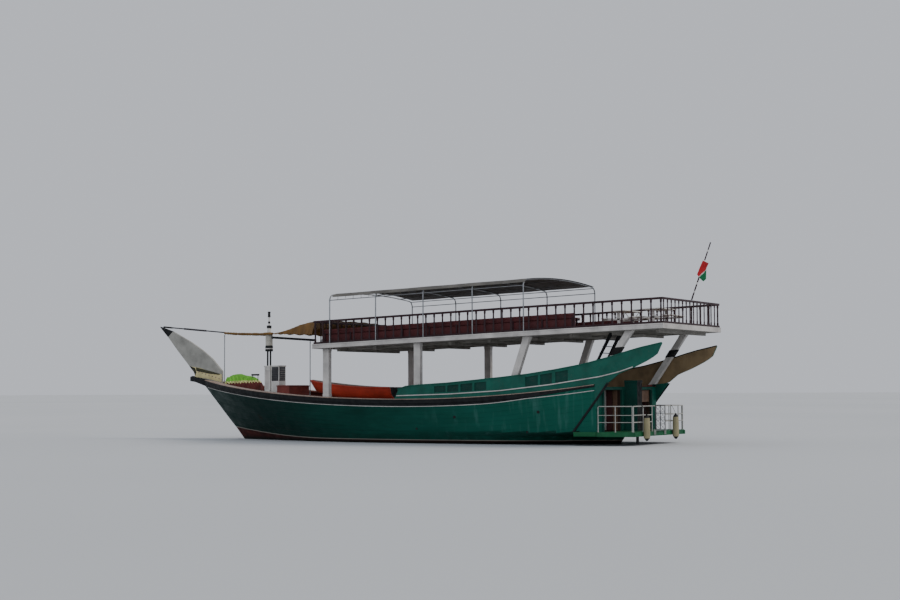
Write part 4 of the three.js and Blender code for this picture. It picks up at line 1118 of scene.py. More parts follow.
def canopyEdge(x):
    return canopy["edge"] + canopy["rise"] * (canopy["front"] - x) / (canopy["bay"] * canopy["bays"])


def canopyHalf(x):
    return upperHalf(x) - canopy["in"]


# A spot on a bow: how far along it from the middle, in metres, and how far out from it
def canopyPoint(x, along, out):
    turn = canopy["round"]
    shoulder = canopyHalf(x) - turn
    side = 1 if along >= 0 else -1
    past = abs(along) - shoulder
    if past <= 0:
        share = along / shoulder
        return Vector((x, along, canopyEdge(x) + out + canopy["camber"] * (1 - share * share)))
    angle = min(math.pi / 2, past / turn)
    y = shoulder + (turn + out) * math.sin(angle)
    return Vector((x, side * y, canopyEdge(x) - turn + (turn + out) * math.cos(angle)))


def makeCanopyFrame():
    bowXs = spread(canopy["front"], canopy["front"] - canopy["bay"] * canopy["bays"], canopy["bays"])
    inward = -canopy["tube"]
    bows = []
    bend = math.pi / 2 * canopy["round"]
    for x in bowXs:
        foot = upperTop(x - canopy["tube"]) + 0.001
        shoulder = canopyHalf(x) - canopy["round"]
        half = [canopyPoint(x, shoulder + bend * k / 8, inward) for k in range(8, 0, -1)]
        across = [canopyPoint(x, shoulder * u, inward) for u in spread(1, -1, 14)]
        start = half[0].copy()
        start.z = foot
        port = [start, *half]
        bows.append(port + across + [Vector((p.x, -p.y, p.z)) for p in port[::-1]])
    tubes("canopy_bows", bows, canopy["tube"], "steel", replaced=["canopy_frame"])

    def lowAt(x, side):
        return Vector((x, side * (canopyHalf(x) - canopy["tube"]), canopyEdge(x) - canopy["drop"]))

    def highAt(x, side):
        return canopyPoint(x, side * (canopyHalf(x) - canopy["round"] * (1 - math.pi / 6)), inward)

    runs = []
    for side in sides.values():
        runs += [[lowAt(x, side) for x in bowXs], [highAt(x, side) for x in bowXs]]
    for u in (-0.62, 0, 0.62):
        runs.append([canopyPoint(x, u * canopyHalf(x), 2 * inward) for x in bowXs])
    tubes("canopy_runs", runs, 0.018, "steel")
    flange = [(0.0, 0.012), (0.034, 0.012), (0.037, 0.006), (0.037, 0.0), (0, 0)]
    bm = bmesh.new()
    for x in bowXs:
        for side in sides.values():
            low = lowAt(x, side)
            addTurned(bm, flange, (x, low.y, upperTop(x - canopy["tube"]) + 0.001), sides=14)
            addRod(bm, low - 0.03 * up, low + 0.03 * up, 0.032, 14)
    finishPiece("canopy_fittings", bm, "steel", bevel=0.002)


# Roof sheet: drawn over the bows, sagging a little between them, with a pale hem
def makeCanopyRoof():
    front = canopy["front"] - canopy["back"]
    aft = canopy["front"] - canopy["bay"] * canopy["bays"] - canopy["over"]
    countX, countY = 92, 46
    bm = bmesh.new()

    def reachAt(x, side):
        return canopyHalf(x) - canopy["round"] * (1 - (math.pi / 3 if side > 0 else math.pi / 12))

    def ringAt(i):
        s = i / countX
        ring = []
        for u in spread(-1, 1, countY):
            x = front + (aft - front) * s - 0.10 * (1 - u * u) * (1 - s)
            slack = math.sin(math.pi * (canopy["front"] - x) / canopy["bay"]) ** 2
            sag = 0.009 * slack
            ripple = 0.004 * math.sin(38 * u + 3 * math.sin(2.1 * x)) * slack
            ring.append(canopyPoint(x, u * reachAt(x, u), canopy["cloth"] - sag + ripple))
        return ring

    new = addLoft(bm, list(range(countX + 1)), ringAt, closed=False)
    for face in new:
        centre = face.calc_center_median()
        low = centre.z < canopyEdge(centre.x) - 0.075
        face.material_index = 1 if low or centre.x > front - 0.09 or centre.x < aft + 0.08 else 0
    area = areaOf(bm)
    piece = finishPiece("canopy_sheet", bm, ["roofCloth", "hemCloth"], replaced=["canopy_roof"],
                        angle=80)
    ties = []
    for x in spread(front - 0.3, aft + 0.3, 22):
        hem = canopyPoint(x, reachAt(x, 1) - 0.02, canopy["cloth"])
        y, z = canopyHalf(x) - canopy["tube"], canopyEdge(x) - canopy["drop"]
        ties.append([hem, (x + 0.01, y + 0.022, z), (x + 0.01, y, z - 0.022), (x, y - 0.022, z), hem])
    tubes("canopy_ties", ties, 0.004, "rope")


makeCanopyFrame()
makeCanopyRoof()
print("canopy done")


# Awning: a tent from the mast to the front rail, its hems gathered, and the stay that runs on to the stem
awning = {
    "aft": 6.8933, "cornerX": 7.06, "cornerZ": 4.6, "apexX": 11.5347, "apexZ": 4.805, "half": 3.2,
    "apexHalf": 0.15, "ridge": [(0, 5.24), (0.2, 5.24), (0.4, 5.195), (0.6, 4.99), (0.8, 4.89), (1, 4.805)],
    "shoulder": [(0, 5.17), (0.2, 5.155), (0.4, 5.10), (0.6, 4.985), (0.8, 4.885), (1, 4.80)], "flap": 0.93,
}


def awningHalf(t):
    return awning["apexHalf"] + (awning["half"] - awning["apexHalf"]) * (1 - t) ** 1.35


def awningPoint(t, u):
    across = abs(u)
    ridge = tableAt(awning["ridge"], t)
    edge = awning["cornerZ"] + (awning["apexZ"] - awning["cornerZ"]) * t
    shoulder = tableAt(awning["shoulder"], t)
    start = awning["aft"] + (awning["cornerX"] - awning["aft"]) * across
    if across < awning["flap"]:
        z = ridge + (shoulder - ridge) * (across / awning["flap"]) ** 2
    else:
        z = shoulder + (edge - shoulder) * (across - awning["flap"]) / (1 - awning["flap"])
    return Vector((start + (awning["apexX"] - start) * t, awningHalf(t) * u, z))


def makeAwning():
    countT, countU = 60, 72
    bm = bmesh.new()

    def ringAt(i):
        t = i / countT
        ring = []
        for turn in spread(-math.pi / 2, math.pi / 2, countU):
            u = math.sin(turn)
            spot = awningPoint(t, u)
            pleats = 0.014 * math.sin(21 * u + 1.3 * math.sin(5 * t)) * (1 - 0.5 * t)
            hem = 0.028 * smoothStep(abs(u), 0.9, 1.0) * math.sin(70 * t + 4 * u)
            waist = 0.01 * math.sin(math.pi * min(1, 2.4 * t)) * math.cos(3 * math.pi * u)
            crease = 0.02 * smoothStep(abs(u), 0.9, 0.96) * math.sin(26 * t + 9 * u)
            spot.z += 0.015 + pleats + hem + waist
            spot.y += crease * (1 - t)
            spot.x = max(spot.x, awning["aft"] + 0.002)
            ring.append(spot)
        return ring

    new = addLoft(bm, list(range(countT + 1)), ringAt, closed=False)
    for face in new:
        centre = face.calc_center_median()
        t = (centre.x - awning["aft"]) / (awning["apexX"] - awning["aft"])
        face.material_index = 1 if abs(centre.y) > awningHalf(t) - 0.09 or t < 0.012 else 0
    area = areaOf(bm)
    piece = finishPiece("awning_sheet", bm, ["tanCloth", "tanHem"], replaced=["awning"],
                        angle=80)


mast = {"x": 11.7, "base": 0.17, "baseTop": 3.36, "pipes": 0.04, "radius": 0.165}
stay = {
    "start": (11.8686, 0, 4.81), "knee": (14.28, 0, 4.915), "tip": (17.95, 0, 5.289), "rings": 70,
    "sag": 0.02, "radius": 0.068, "line": 0.030, "bundle": 0.044, "end": 0.040, "lashing": 0.005,
    "roll": 0.056,
}


# A rolled cloth lashed along a line, thicker and thinner along its length
def makeStay():
    start, knee, tip = Vector(stay["start"]), Vector(stay["knee"]), Vector(stay["tip"])
    rings = stay["rings"]

    def sagAt(s):
        return stay["sag"] * math.sin(math.pi * s)

    def ringAt(i):
        s = i / rings
        spot = start.lerp(knee, s)
        radius = stay["radius"] + 0.007 * math.sin(31 * s) * math.sin(7 * s)
        radius -= 0.006 * (i % 6 == 0) + 0.016 * s
        ring = []
        for k in range(12):
            angle = 2 * math.pi * k / 12
            wide = radius * (1 + 0.08 * math.sin(3 * angle + 9 * s))
            ring.append(spot + Vector((0, wide * math.cos(angle), wide * math.sin(angle) - sagAt(s))))
        return ring

    bm = bmesh.new()
    addLoft(bm, list(range(rings + 1)), ringAt)
    finishPiece("stay_roll", bm, "tanCloth", replaced=["awning_stay"], angle=60)
    thick = [knee.lerp(tip, s) + 0.03 * (1 - s) * up for s in (0.30, 0.36, 0.48, 0.60, 0.66)]
    wraps = []
    for s in spread(0.04, 0.98, 14):
        x, _, z = start.lerp(knee, s)
        wraps.append([(x + 0.002 * k, 0.066 * math.cos(k * 0.7), z - sagAt(s) + 0.066 * math.sin(k * 0.7))
                      for k in range(10)])
    past = [(mast["x"] + 0.235 * math.cos(a), 0.235 * math.sin(a), 4.83)
            for a in spread(0.35, math.pi - 0.35, 10)]
    around = [start + Vector((0.05, 0, 0)), *past, (11.44, 0.12, 4.83)]
    for name, paths, radius, key in (
        ("stay_line", [[knee + 0.03 * up, tip]], stay["line"], "darkRoll"),
        ("stay_bundle", [thick], stay["bundle"], "darkRoll"),
        ("stay_end", [[knee.lerp(tip, 0.86), tip]], stay["end"], "blackRubber"),
        ("stay_lashings", wraps, stay["lashing"], "rope"),
        ("awning_roll", [around], stay["roll"], "tanCloth"),
    ):
        tubes(name, paths, radius, key)


# Two thin poles on the fore deck that carry the stay and the end of the boom, each with its x and top
poles = [("stay_pole", 14.28, 4.838, "awning_pole"), ("boom_crutch", 9.4, 4.4445, "boom_pole")]


def makePoles():
    for name, x, top, node in poles:
        foot = deckZ(x) + 0.003
        bm = bmesh.new()
        addTurned(bm, [(0, 0.03), (0.05, 0.03), (0.06, 0.02), (0.06, 0), (0, 0)], (x, 0, foot), sides=16)
        addRod(bm, (x, 0, foot), (x, 0, top), 0.022, 16)
        addRod(bm, (x, 0, top - 0.10), (x, 0, top - 0.04), 0.027, 16)
        finishPiece(name, bm, "steel", replaced=[node], bevel=0.002)


makeAwning()
makeStay()
makePoles()


# Mast: a square base, two pipes, a collar, a thick drum, a slender head with its lamp, and the boom
def makeMast():
    x, half, top = mast["x"], mast["base"], mast["baseTop"]
    foot = deckZ(x) + 0.004
    bm = bmesh.new()
    addBox(bm, (x - half + 0.02, -half + 0.02, foot), (x + half - 0.02, half - 0.02, top - 0.03))
    addBox(bm, (x - half, -half, foot), (x + half, half, foot + 0.12))
    addBox(bm, (x - half, -half, top - 0.06), (x + half, half, top))
    for y in (0.15, -0.15):
        addBox(bm, (x - 0.10, y - 0.006, foot + 0.25), (x + 0.10, y + 0.006, top - 0.2), 1)
    finishPiece("mast_plinth", bm, ["whitePaint", "greyPaint"], replaced=["mast_base"],
                bevel=0.01)

    r = mast["radius"]
    bm = bmesh.new()
    for dx in (-0.08, 0.08):
        addRod(bm, (x + dx, 0, top + 0.001), (x + dx, 0, 4.05), mast["pipes"], 20, 1)
    parts = [
        ([(0, 4.02), (0.17, 4.02), (0.18, 4.03), (0.18, 4.12), (0, 4.12)], 1),
        ([(0, 4.12), (0.174, 4.12), (0.174, 4.17), (0, 4.17)], 3),
        ([(0, 4.17), (0.18, 4.17), (0.18, 4.26), (0.17, 4.28), (0, 4.28)], 1),
        ([(0, 4.27), (r - 0.02, 4.275), (r, 4.30), (r, 4.50), (r - 0.008, 4.51), (r, 4.52), (r, 4.82),
          (r - 0.02, 4.86), (r - 0.05, 4.87), (0, 4.87)], 0),
        ([(0, 4.865), (0.088, 4.865), (0.084, 4.90), (0.084, 5.06), (0.088, 5.085), (0, 5.085)], 2),
        ([(0, 5.085), (0.10, 5.085), (0.11, 5.095), (0.11, 5.205), (0.09, 5.215), (0, 5.215)], 1),
        ([(0, 5.21), (0.034, 5.212), (0.034, 5.30), (0, 5.30)], 2),
        ([(0, 5.30), (0.050, 5.305), (0.054, 5.33), (0.054, 5.38), (0.040, 5.40), (0, 5.40)], 1),
        ([(0, 5.40), (0.034, 5.40), (0.034, 5.59), (0, 5.59)], 2),
        ([(0, 5.59), (0.06, 5.597), (0.073, 5.61), (0.062, 5.65), (0.058, 5.79), (0.072, 5.81), (0.062, 5.85),
          (0, 5.86)], 1),
    ]
    for profile, index in parts:
        addTurned(bm, [(a, b - 4.0) for a, b in profile], (x, 0, 4.0), sides=28, index=index)
    finishPiece("mast_drum", bm, ["drumPaint", "blackPaint", "whitePaint", "greyPaint"], replaced=["mast"],
                bevel=0.002)

    heel, end = Vector((11.5307, 0, 4.655)), Vector((9.08, 0, 4.48))
    bm = bmesh.new()
    addRod(bm, heel, end, 0.05, 20)
    for s in (0.01, 0.3, 0.62, 0.97):
        at = heel.lerp(end, s)
        addRod(bm, at, at + (end - heel).normalized() * 0.05, 0.055, 20, 1)
    addRod(bm, heel + 0.042 * up, end + 0.042 * up, 0.013, 8, 2)
    finishPiece("boom_spar", bm, ["blackPaint", "darkSteel", "greyPaint"], replaced=["boom"],
                bevel=0.003)


makeMast()
print("awning and mast done")


# Fore deck: cabinet with louvres in its sides and a boarded aft face
cabinet = {"aft": 10.93, "fore": 11.40, "half": 0.28, "top": 3.37, "low": 2.66, "high": 3.30, "louvres": 7}


def makeCabinet():
    x0, x1, half, top = cabinet["aft"], cabinet["fore"], cabinet["half"], cabinet["top"]
    low, high = cabinet["low"], cabinet["high"]
    foot = deckZ(11.2) + 0.012
    bm = bmesh.new()
    addBox(bm, (x0 + 0.02, -half + 0.02, deckZ(x0) + 0.002), (x1 - 0.02, half - 0.02, top - 0.05))
    addBox(bm, (x0, -half, top - 0.05), (x1, half, top))
    addBox(bm, (x0, -half, foot), (x1, half, foot + 0.08))
    for side in sides.values():
        y0, y1 = sorted((side * (half - 0.03), side * (half - 0.004)))
        addBox(bm, (x0 + 0.05, y0, low), (x1 - 0.05, y1, high), 2)
        for k in range(cabinet["louvres"]):
            slat = Matrix.Translation(((x0 + x1) / 2, side * (half - 0.006), low + 0.07 + 0.085 * k))
            slat = slat @ Matrix.Rotation(side * 0.6, 4, "X")
            addBox(bm, (-0.165, -0.006, -0.032), (0.165, 0.006, 0.032), 2, slat)
    addBox(bm, (x0 + 0.008, -0.22, low), (x0 + 0.028, 0.22, high), 2)
    for k in range(6):
        z = low + 0.03 + 0.10 * k
        addBox(bm, (x0, -0.21, z), (x0 + 0.03, 0.21, z + 0.01), 1)
    finishPiece("cabinet_boards", bm, ["whitePaint", "greyPaint", "darkSteel"], replaced=["deck_cabinet"],
                bevel=0.006)


# Hatch with planks along it and two battens across
hatch = {
    "aft": 9.98, "fore": 10.70, "half": 0.8, "under": 2.40, "top": 2.45, "planks": 8,
    "battens": (10.06, 10.54),
}


def makeHatch():
    x0, x1, half, under = hatch["aft"], hatch["fore"], hatch["half"], hatch["under"]
    inset = 0.02
    bm = bmesh.new()
    addBox(bm, (x0 + inset, -half + inset, deckZ(x0 + inset) + 0.003), (x1 - inset, half - inset, under), 1)
    edges = spread(-half, half, hatch["planks"])
    for a, b in zip(edges, edges[1:]):
        addBox(bm, (x0, a + 0.004, under), (x1, b - 0.004, hatch["top"]))
    for x in hatch["battens"]:
        addBox(bm, (x, -0.79, hatch["top"] - 0.003), (x + 0.07, 0.79, hatch["top"] + 0.01), 1)
    finishPiece("hatch_boards", bm, ["hatchRed", "innerRed"], replaced=["fore_hatch"],
                bevel=0.006)


# Gear under a green cover that hangs to a hem nearly level over the sloping deck
gear = {
    "aft": 12.15, "long": 1.95, "lumps": 16, "ruffles": 46, "ruffleAft": 12.2, "ruffleLong": 1.85,
    "barY": 0.1,
}


def gearHem(x):
    return deckZ(x) + 0.32 + 0.15 * (14.0 - x)


# Height and half breadth of the heap at a share of its length
def gearSize(t):
    swell = math.sin(math.pi * min(0.97, t + 0.03))
    return 0.38 + 0.43 * swell ** 0.35, 0.12 + 0.43 * swell ** 0.5


def makeGear():
    bm = bmesh.new()
    random.seed(4)
    lumps = [(random.random(), random.uniform(0, math.pi), random.uniform(0.1, 0.2))
             for _ in range(gear["lumps"])]
    countT, countA = 70, 60

    def ringAt(i):
        t = i / countT
        x = gear["aft"] + gear["long"] * t
        high, half = gearSize(t)
        ring = []
        for a in spread(0, math.pi, countA):
            lump = sum(0.05 * math.exp(-((t - p) / w) ** 2 - ((a - q) / (3 * w)) ** 2) for p, q, w in lumps)
            skirt = smoothStep(abs(a - math.pi / 2), 1.0, 1.57)
            ruffle = 0.022 * skirt * math.sin(60 * t + 3 * a)
            folds = 0.03 * smoothStep(abs(a - math.pi / 2), 0.2, 0.7) * math.sin(52 * t + 5 * math.sin(3 * a))
            grow = 0.93 + min(0.07, lump) + ruffle / half * 0.5 + folds
            drop = 0.05 * math.sin(2 * a) ** 2
            ring.append(Vector((
                x + 0.012 * skirt * math.cos(60 * t),
                half * math.cos(a) * grow,
                deckZ(x) + 0.008 + high * math.sin(a) * (grow - drop),
            )))
        return ring

    addLoft(bm, list(range(countT + 1)), ringAt, closed=False)
    for end in (0, countT):
        x = gear["aft"] + gear["long"] * end / countT
        middle = Vector((x, 0, deckZ(x) + 0.2))
        addLoft(bm, spread(0, 0.98, 8), lambda s: [p.lerp(middle, s) for p in ringAt(end)], closed=False)
    for face in bm.faces:
        spot = face.calc_center_median()
        above = spot.z - gearHem(spot.x) - 0.03 * math.sin(38 * spot.x + 30 * spot.y)
        face.material_index = 0 if above > 0.03 else 1 if above > -0.04 else 2
    area = areaOf(bm)
    cover = finishPiece("gear_sheet", bm, ["limeCloth", "ruffleCloth", "coverRed"],
                        replaced=["covered_anchor_gear"], angle=70)
    frill = [(0.0, -0.02), (0.014, 0.0), (0.024, 0.016), (0.018, 0.020), (0.008, 0.006), (0, 0.0)]
    bm = bmesh.new()
    for k in range(gear["ruffles"]):
        t = (k + 0.5) / gear["ruffles"]
        x = gear["ruffleAft"] + gear["ruffleLong"] * t
        high, half = gearSize(t)
        for side in sides.values():
            for lift in (-0.025, 0.03):
                a = math.asin(min(0.95, (gearHem(x) + lift - deckZ(x)) / (0.93 * high)))
                spot = Vector((x, side * half * math.cos(a) * 0.955, deckZ(x) + high * math.sin(a) * 0.935))
                lean = Vector((0.3 * math.sin(11 * t), side * 0.7, 0.75)).normalized()
                addTurned(bm, frill, spot, lean, 7)
    finishPiece("gear_ruffles", bm, "ruffleCloth", angle=80)
    y, bar = gear["barY"], deckZ(12.4) + 0.86
    tubes("gear_bar", [[(12.2, y, bar), (12.62, y, bar)]], 0.04, "blackRubber")
    legs = [[(x, y, bar), (x, y, deckZ(x) + 0.05)] for x in (12.26, 12.56)]
    tubes("gear_bar_legs", legs, 0.016, "darkSteel")


makeCabinet()
makeHatch()
makeGear()


# Tender on the fore deck: planked skin, rub rail, ribs, thwarts and a dark transom, on two chocks
tender = {
    "rake": 0.36, "aft": 5.25, "length": 4.86, "half": 0.78, "skin": 0.045, "y": -1.0,
    "thwarts": (0.25, 0.5, 0.75),
    "rub": [(-0.05, 0.0), (-0.05, 0.018), (0.012, 0.022), (0.02, 0.01), (0.02, -0.035), (0.0, -0.045)],
    "chocks": {"aft": 0.18, "fore": 0.66},
}


def tenderSection(t, inset):
    x = tender["aft"] + tender["length"] * t
    half = max(0.02, tender["half"] * max(0, 1 - t ** 3) ** 0.7 + 0.025 - inset)
    rim = 2.33 + 0.38 * t ** 2.2
    bottom = min(1.76 + 0.42 * t ** 3 + inset, rim - 0.05)
    side = [(half * 0.1, bottom), (half * 0.36, bottom + 0.02), (half * 0.62, bottom + 0.06),
            (half * 0.80, (bottom + 0.06) * 0.5 + (rim + bottom) * 0.25), (half * 0.92, (rim + bottom) / 2),
            (half * 0.96, (rim * 3 + bottom) / 4), (half, rim)]
    return x, half, rim, bottom, side


# How far a height of the tender's section leans back from its rim, at the raked bow
def tenderLean(t, z):
    _, _, rim, bottom, _ = tenderSection(t, 0)
    return tender["rake"] * smoothStep(t, 0.7, 1.0) * min(1, max(0, (rim - z) / (rim - bottom)))


def makeTender():
    bm = bmesh.new()

    def ringAt(t):
        x, _, _, _, outer = tenderSection(t, 0)
        inner = tenderSection(t, tender["skin"] * (1 - t ** 6))[4]
        path = outer[::-1] + [(-y, z) for y, z in outer] + [(-y, z) for y, z in inner[::-1]] + inner
        return [Vector((x - tenderLean(t, z), tender["y"] + y, z)) for y, z in path]

    addLoft(bm, spread(0, 0.995, 40), ringAt, [0] * 14 + [1] * 13 + [0])
    finishPiece("tender_skin", bm, ["skiffOrange", "skiffInside"], replaced=["tender"],
                angle=40)

    bm = bmesh.new()
    edge = tenderSection(0, 0.004)[4]
    outline = edge[::-1] + [(-y, z) for y, z in edge]
    verts = [bm.verts.new((tender["aft"] + 0.001, tender["y"] + y, z)) for y, z in outline]
    face = bm.faces.new(verts)
    grown = bmesh.ops.extrude_face_region(bm, geom=[face])["geom"]
    bmesh.ops.translate(bm, verts=[v for v in grown if isinstance(v, bmesh.types.BMVert)], vec=(0.045, 0, 0))
    for t in tender["thwarts"]:
        x, half, rim, _, _ = tenderSection(t, 0)
        y0, y1 = tender["y"] - half * 0.93, tender["y"] + half * 0.93
        for a in (-0.118, 0.004):
            addBox(bm, (x + a, y0, rim - 0.13), (x + a + 0.114, y1, rim - 0.095), 1)
    finishPiece("tender_boards", bm, ["blackPaint", "skiffInside"], bevel=0.004)

    bm = bmesh.new()
    for side in sides.values():
        def railAt(t):
            x, half, rim, _, _ = tenderSection(t, 0)
            y = tender["y"] + side * half
            return [Vector((x, y + side * a, rim + b)) for a, b in tender["rub"]]
        addLoft(bm, spread(0, 0.985, 30), railAt, [2, 2, 0, 0, 0, 0])
        for t in spread(0.06, 0.88, 11):
            x, _, _, _, inner = tenderSection(t, tender["skin"] + 0.002)
            path = [Vector((x - tenderLean(t, z), tender["y"] + side * y, z)) for y, z in inner]
            for a, b in zip(path, path[1:]):
                addRod(bm, a, b, 0.011, 6, 1)
    finishPiece("tender_rails", bm, ["skiffOrange", "skiffInside", "greyPaint"])

    for name, t in tender["chocks"].items():
        x, _, _, bottom, _ = tenderSection(t, 0)
        bm = bmesh.new()
        addBox(bm, (x, tender["y"] - 0.45, deckZ(x) + 0.004), (x + 0.12, tender["y"] + 0.45, bottom - 0.001))
        finishPiece(f"chock_{name}", bm, "deckBrown", replaced=[f"tender_chock_{name}"],
                    bevel=0.008)


makeTender()
print("fore deck done")


# Stern platform: planks over a dark slab in a frame, with lugs for the boarding ladder; the slab's dark olive
# shows in the gaps between the planks as painted shade
platform = {
    "fore": -6.2003, "aft": -7.64, "half": 2.55, "flare": 0.4, "top": 0.54, "thick": 0.18, "plank": 0.16,
    "edge": 0.975,
}


def platformHalf(x):
    return platform["half"] + platform["flare"] * (x - platform["aft"]) / (platform["fore"] - platform["aft"])


def makePlatform():
    low, top = platform["top"] - platform["thick"], platform["top"]
    fore, aft, half, edge = platform["fore"], platform["aft"], platform["half"], platform["edge"]
    inner = aft + 0.072
    # The slab under the planks is dark olive: painted shade in the gaps between them
    rows = [(aft, -1, -edge, low, top, 0), (aft, edge, 1, low, top, 0),
            (inner, -edge, edge, low + 0.02, top - 0.04, 1)]
    planks = spread(-edge, edge, round(half * 2 * edge / platform["plank"]))
    for a, b in zip(planks, planks[1:]):
        rows.append((inner, a + 0.0015, b - 0.0015, top - 0.04, top - 0.001, 0))
    bm = bmesh.new()
    for x, u0, u1, z0, z1, index in rows:
        for vert in addBox(bm, (x, u0, z0), (fore, u1, z1), index):
            vert.co.y *= platformHalf(vert.co.x)
    addBox(bm, (aft, -half * edge, low), (aft + 0.071, half * edge, top))
    for y in (0.63, -0.40):
        addBox(bm, (aft - 0.085, y, low + 0.04), (aft + 0.01, y + 0.02, 0.605), 2)
    for y in (half - 0.10, -half):
        addBox(bm, (aft - 0.035, y, low), (aft, y + 0.10, low + 0.16))
    finishPiece("platform_planks", bm, ["platformPaint", "oliveDark", "whiteTube"],
                replaced=["stern_platform"], bevel=0.006)


# Rails of the platform: posts, a top rail bent down at its fore end, and two wires below it
sternRail = {
    "aft": -7.58, "fore": -6.25, "post": -6.9, "inset": 0.06, "foot": 0.5403, "low": 0.9161, "middle": 1.1915,
    "high": 1.5383, "bend": 0.06, "posts": (1.56, 0.68, -0.65, -1.24, -2.03), "tube": 0.019, "aftTube": 0.021,
    "wire": 0.012,
}


def makePlatformRails():
    foot, high, bend = sternRail["foot"], sternRail["high"], sternRail["bend"]
    wireZs = (sternRail["low"], sternRail["middle"])
    fore, corner = sternRail["fore"], sternRail["aft"]
    end = corner + 0.0443

    def yAt(x):
        return platformHalf(x) - sternRail["inset"]

    for name, side in sides.items():
        y0, y1 = side * yAt(fore), side * yAt(end)
        paths = [[(x, side * yAt(x), foot), (x, side * yAt(x), high)] for x in (sternRail["post"], end)]
        turn = [(fore - bend + bend * math.cos(a), y0, high - bend + bend * math.sin(a))
                for a in spread(0, math.pi / 2, 6)]
        paths.append([(fore, y0, foot), (fore, y0, high - bend), *turn, (end, y1, high)])
        wires = [[(fore, y0, z), (end, y1, z)] for z in wireZs]
        tubes(f"stern_wires_{name}", wires, sternRail["wire"], "whiteTube")
        tubes(f"stern_rail_{name}", paths, sternRail["tube"], "whiteTube",
              replaced=[f"platform_rail_side_{name}"])
    y = yAt(corner)
    posts = [y, *sternRail["posts"], -y]
    paths = [[(corner, p, foot), (corner, p, high)] for p in posts]
    paths.append([(corner, y, high), (corner, -y, high)])
    for z in wireZs:
        paths += [[(corner, y, z), (corner, posts[2], z)], [(corner, posts[3], z), (corner, -y, z)]]
    tubes("stern_rail_aft", paths, sternRail["aftTube"], "whiteTube", replaced=["platform_rail_aft"])
    spots = [(corner, p) for p in posts]
    spots += [(x, side * yAt(x)) for side in sides.values() for x in (fore, sternRail["post"])]
    flange = [(0, 0.012), (0.032, 0.012), (0.038, 0.006), (0.038, 0), (0, 0)]
    bm = bmesh.new()
    for x, p in spots:
        addTurned(bm, flange, (x, p, foot), sides=14)
    finishPiece("stern_rail_feet", bm, "whiteTube")


# Boarding ladder: a light lattice that stands folded up outside the aft rail
ladder = {
    "x": -7.70, "port": 0.60, "starboard": -0.35, "foot": 0.58, "high": 0.99, "cell": 0.2375, "pin": 0.0295,
    "stile": 0.018, "rung": 0.015, "bar": 0.009,
}


def makeLadder():
    x, port, starboard, low = ladder["x"], ladder["port"], ladder["starboard"], ladder["foot"]
    head, cell, pin = low + ladder["high"], ladder["cell"], ladder["pin"]
    middle = (port + starboard) / 2
    stiles = [[(x, y, low), (x, y, head)] for y in (port, middle, starboard)]
    stiles += [[(x, port, head - 0.01), (x, starboard, head - 0.01)]]
    rungs = [[(x, port, low + cell * k), (x, starboard, low + cell * k)] for k in (1, 2, 3)]
    rungs.append([(x, port + pin, low), (x, starboard - pin, low)])
    bars = []
    for k in range(4):
        z0, z1 = low + cell * k, low + cell * (k + 1)
        for a, b in ((port, middle), (middle, starboard)):
            bars += [[(x, a, z0), (x, b, z1)], [(x, b, z0), (x, a, z1)]]
    tubes("ladder_frame", stiles, ladder["stile"], "darkSteel", body="boarding_ladder",
          replaced=["boarding_ladder"])
    tubes("ladder_rungs", rungs, ladder["rung"], "steel", body="boarding_ladder")
    tubes("ladder_lattice", bars, ladder["bar"], "steel", body="boarding_ladder")


# Fenders hung on lanyards over the aft rail: cream cylinders with black ends
fender = {
    "x": -7.7703, "top": 1.18, "line": 0.0075, "knot": 0.026, "knotX": -7.58, "knotZ": 1.538,
    "places": [("fender_port", 1.65, "fender_a"), ("fender_starboard", -1.30, "fender_b")],
    "profile": [
        (0, -1.0), (0.03, -0.995), (0.05, -0.98), (0.062, -0.955), (0.105, -0.90), (0.118, -0.895),
        (0.122, -0.86), (0.129, -0.80), (0.127, -0.74), (0.129, -0.66), (0.126, -0.6), (0.129, -0.5),
        (0.126, -0.44), (0.129, -0.36), (0.122, -0.28), (0.116, -0.14), (0.112, -0.10), (0.085, -0.04),
        (0.06, -0.012), (0, 0),
    ],
    "eye": [(0.012, -0.01), (0.035, 0.0), (0.04, 0.02), (0.03, 0.045), (0.012, 0.05)],
}


def makeFenders():
    x, top, wide = fender["x"], fender["top"], fender["knot"]
    railX, railZ = fender["knotX"], fender["knotZ"]
    for name, y, node in fender["places"]:
        bm = bmesh.new()
        addTurned(bm, fender["profile"], (x, y, top), sides=28)
        for face in bm.faces:
            z = face.calc_center_median().z - top
            face.material_index = 1 if z < -0.895 or z > -0.09 else 0
        addTurned(bm, fender["eye"], (x, y, top - 0.005), sides=14, index=1)
        finishPiece(name, bm, ["rubber", "blackRubber"], replaced=[node], angle=50)
        line = [(x, y, top - 0.02), (x + 0.03, y + 0.002, top + 0.10), (railX - 0.03, y, railZ)]
        knot = [(railX + wide * math.cos(a), y + 0.006 * a, railZ + wide * math.sin(a))
                for a in spread(math.pi, 5 * math.pi, 24)]
        tubes(f"{name}_line", [line, knot], fender["line"], "blackRubber")


makePlatform()
makePlatformRails()
makeLadder()
makeFenders()


# The end wall: vertical boards, a frame round each doorway, the rudder trunk, and doors folded back inside,
# near-black brown as painted shade in the rooms
sternWall = {
    "x": -6.2003, "foot": 0.5405, "frames": [(0.57, 0.65, 0.5405), (2.33, 2.41, 0.5405), (0.57, 2.41, 2.18)],
    "frameTop": 2.26, "trunkHalf": 0.24, "trunkDeep": 0.56, "trunkTop": 2.54,
    "battens": (0.32, 0.44, 2.53, 2.66, 2.79),
}


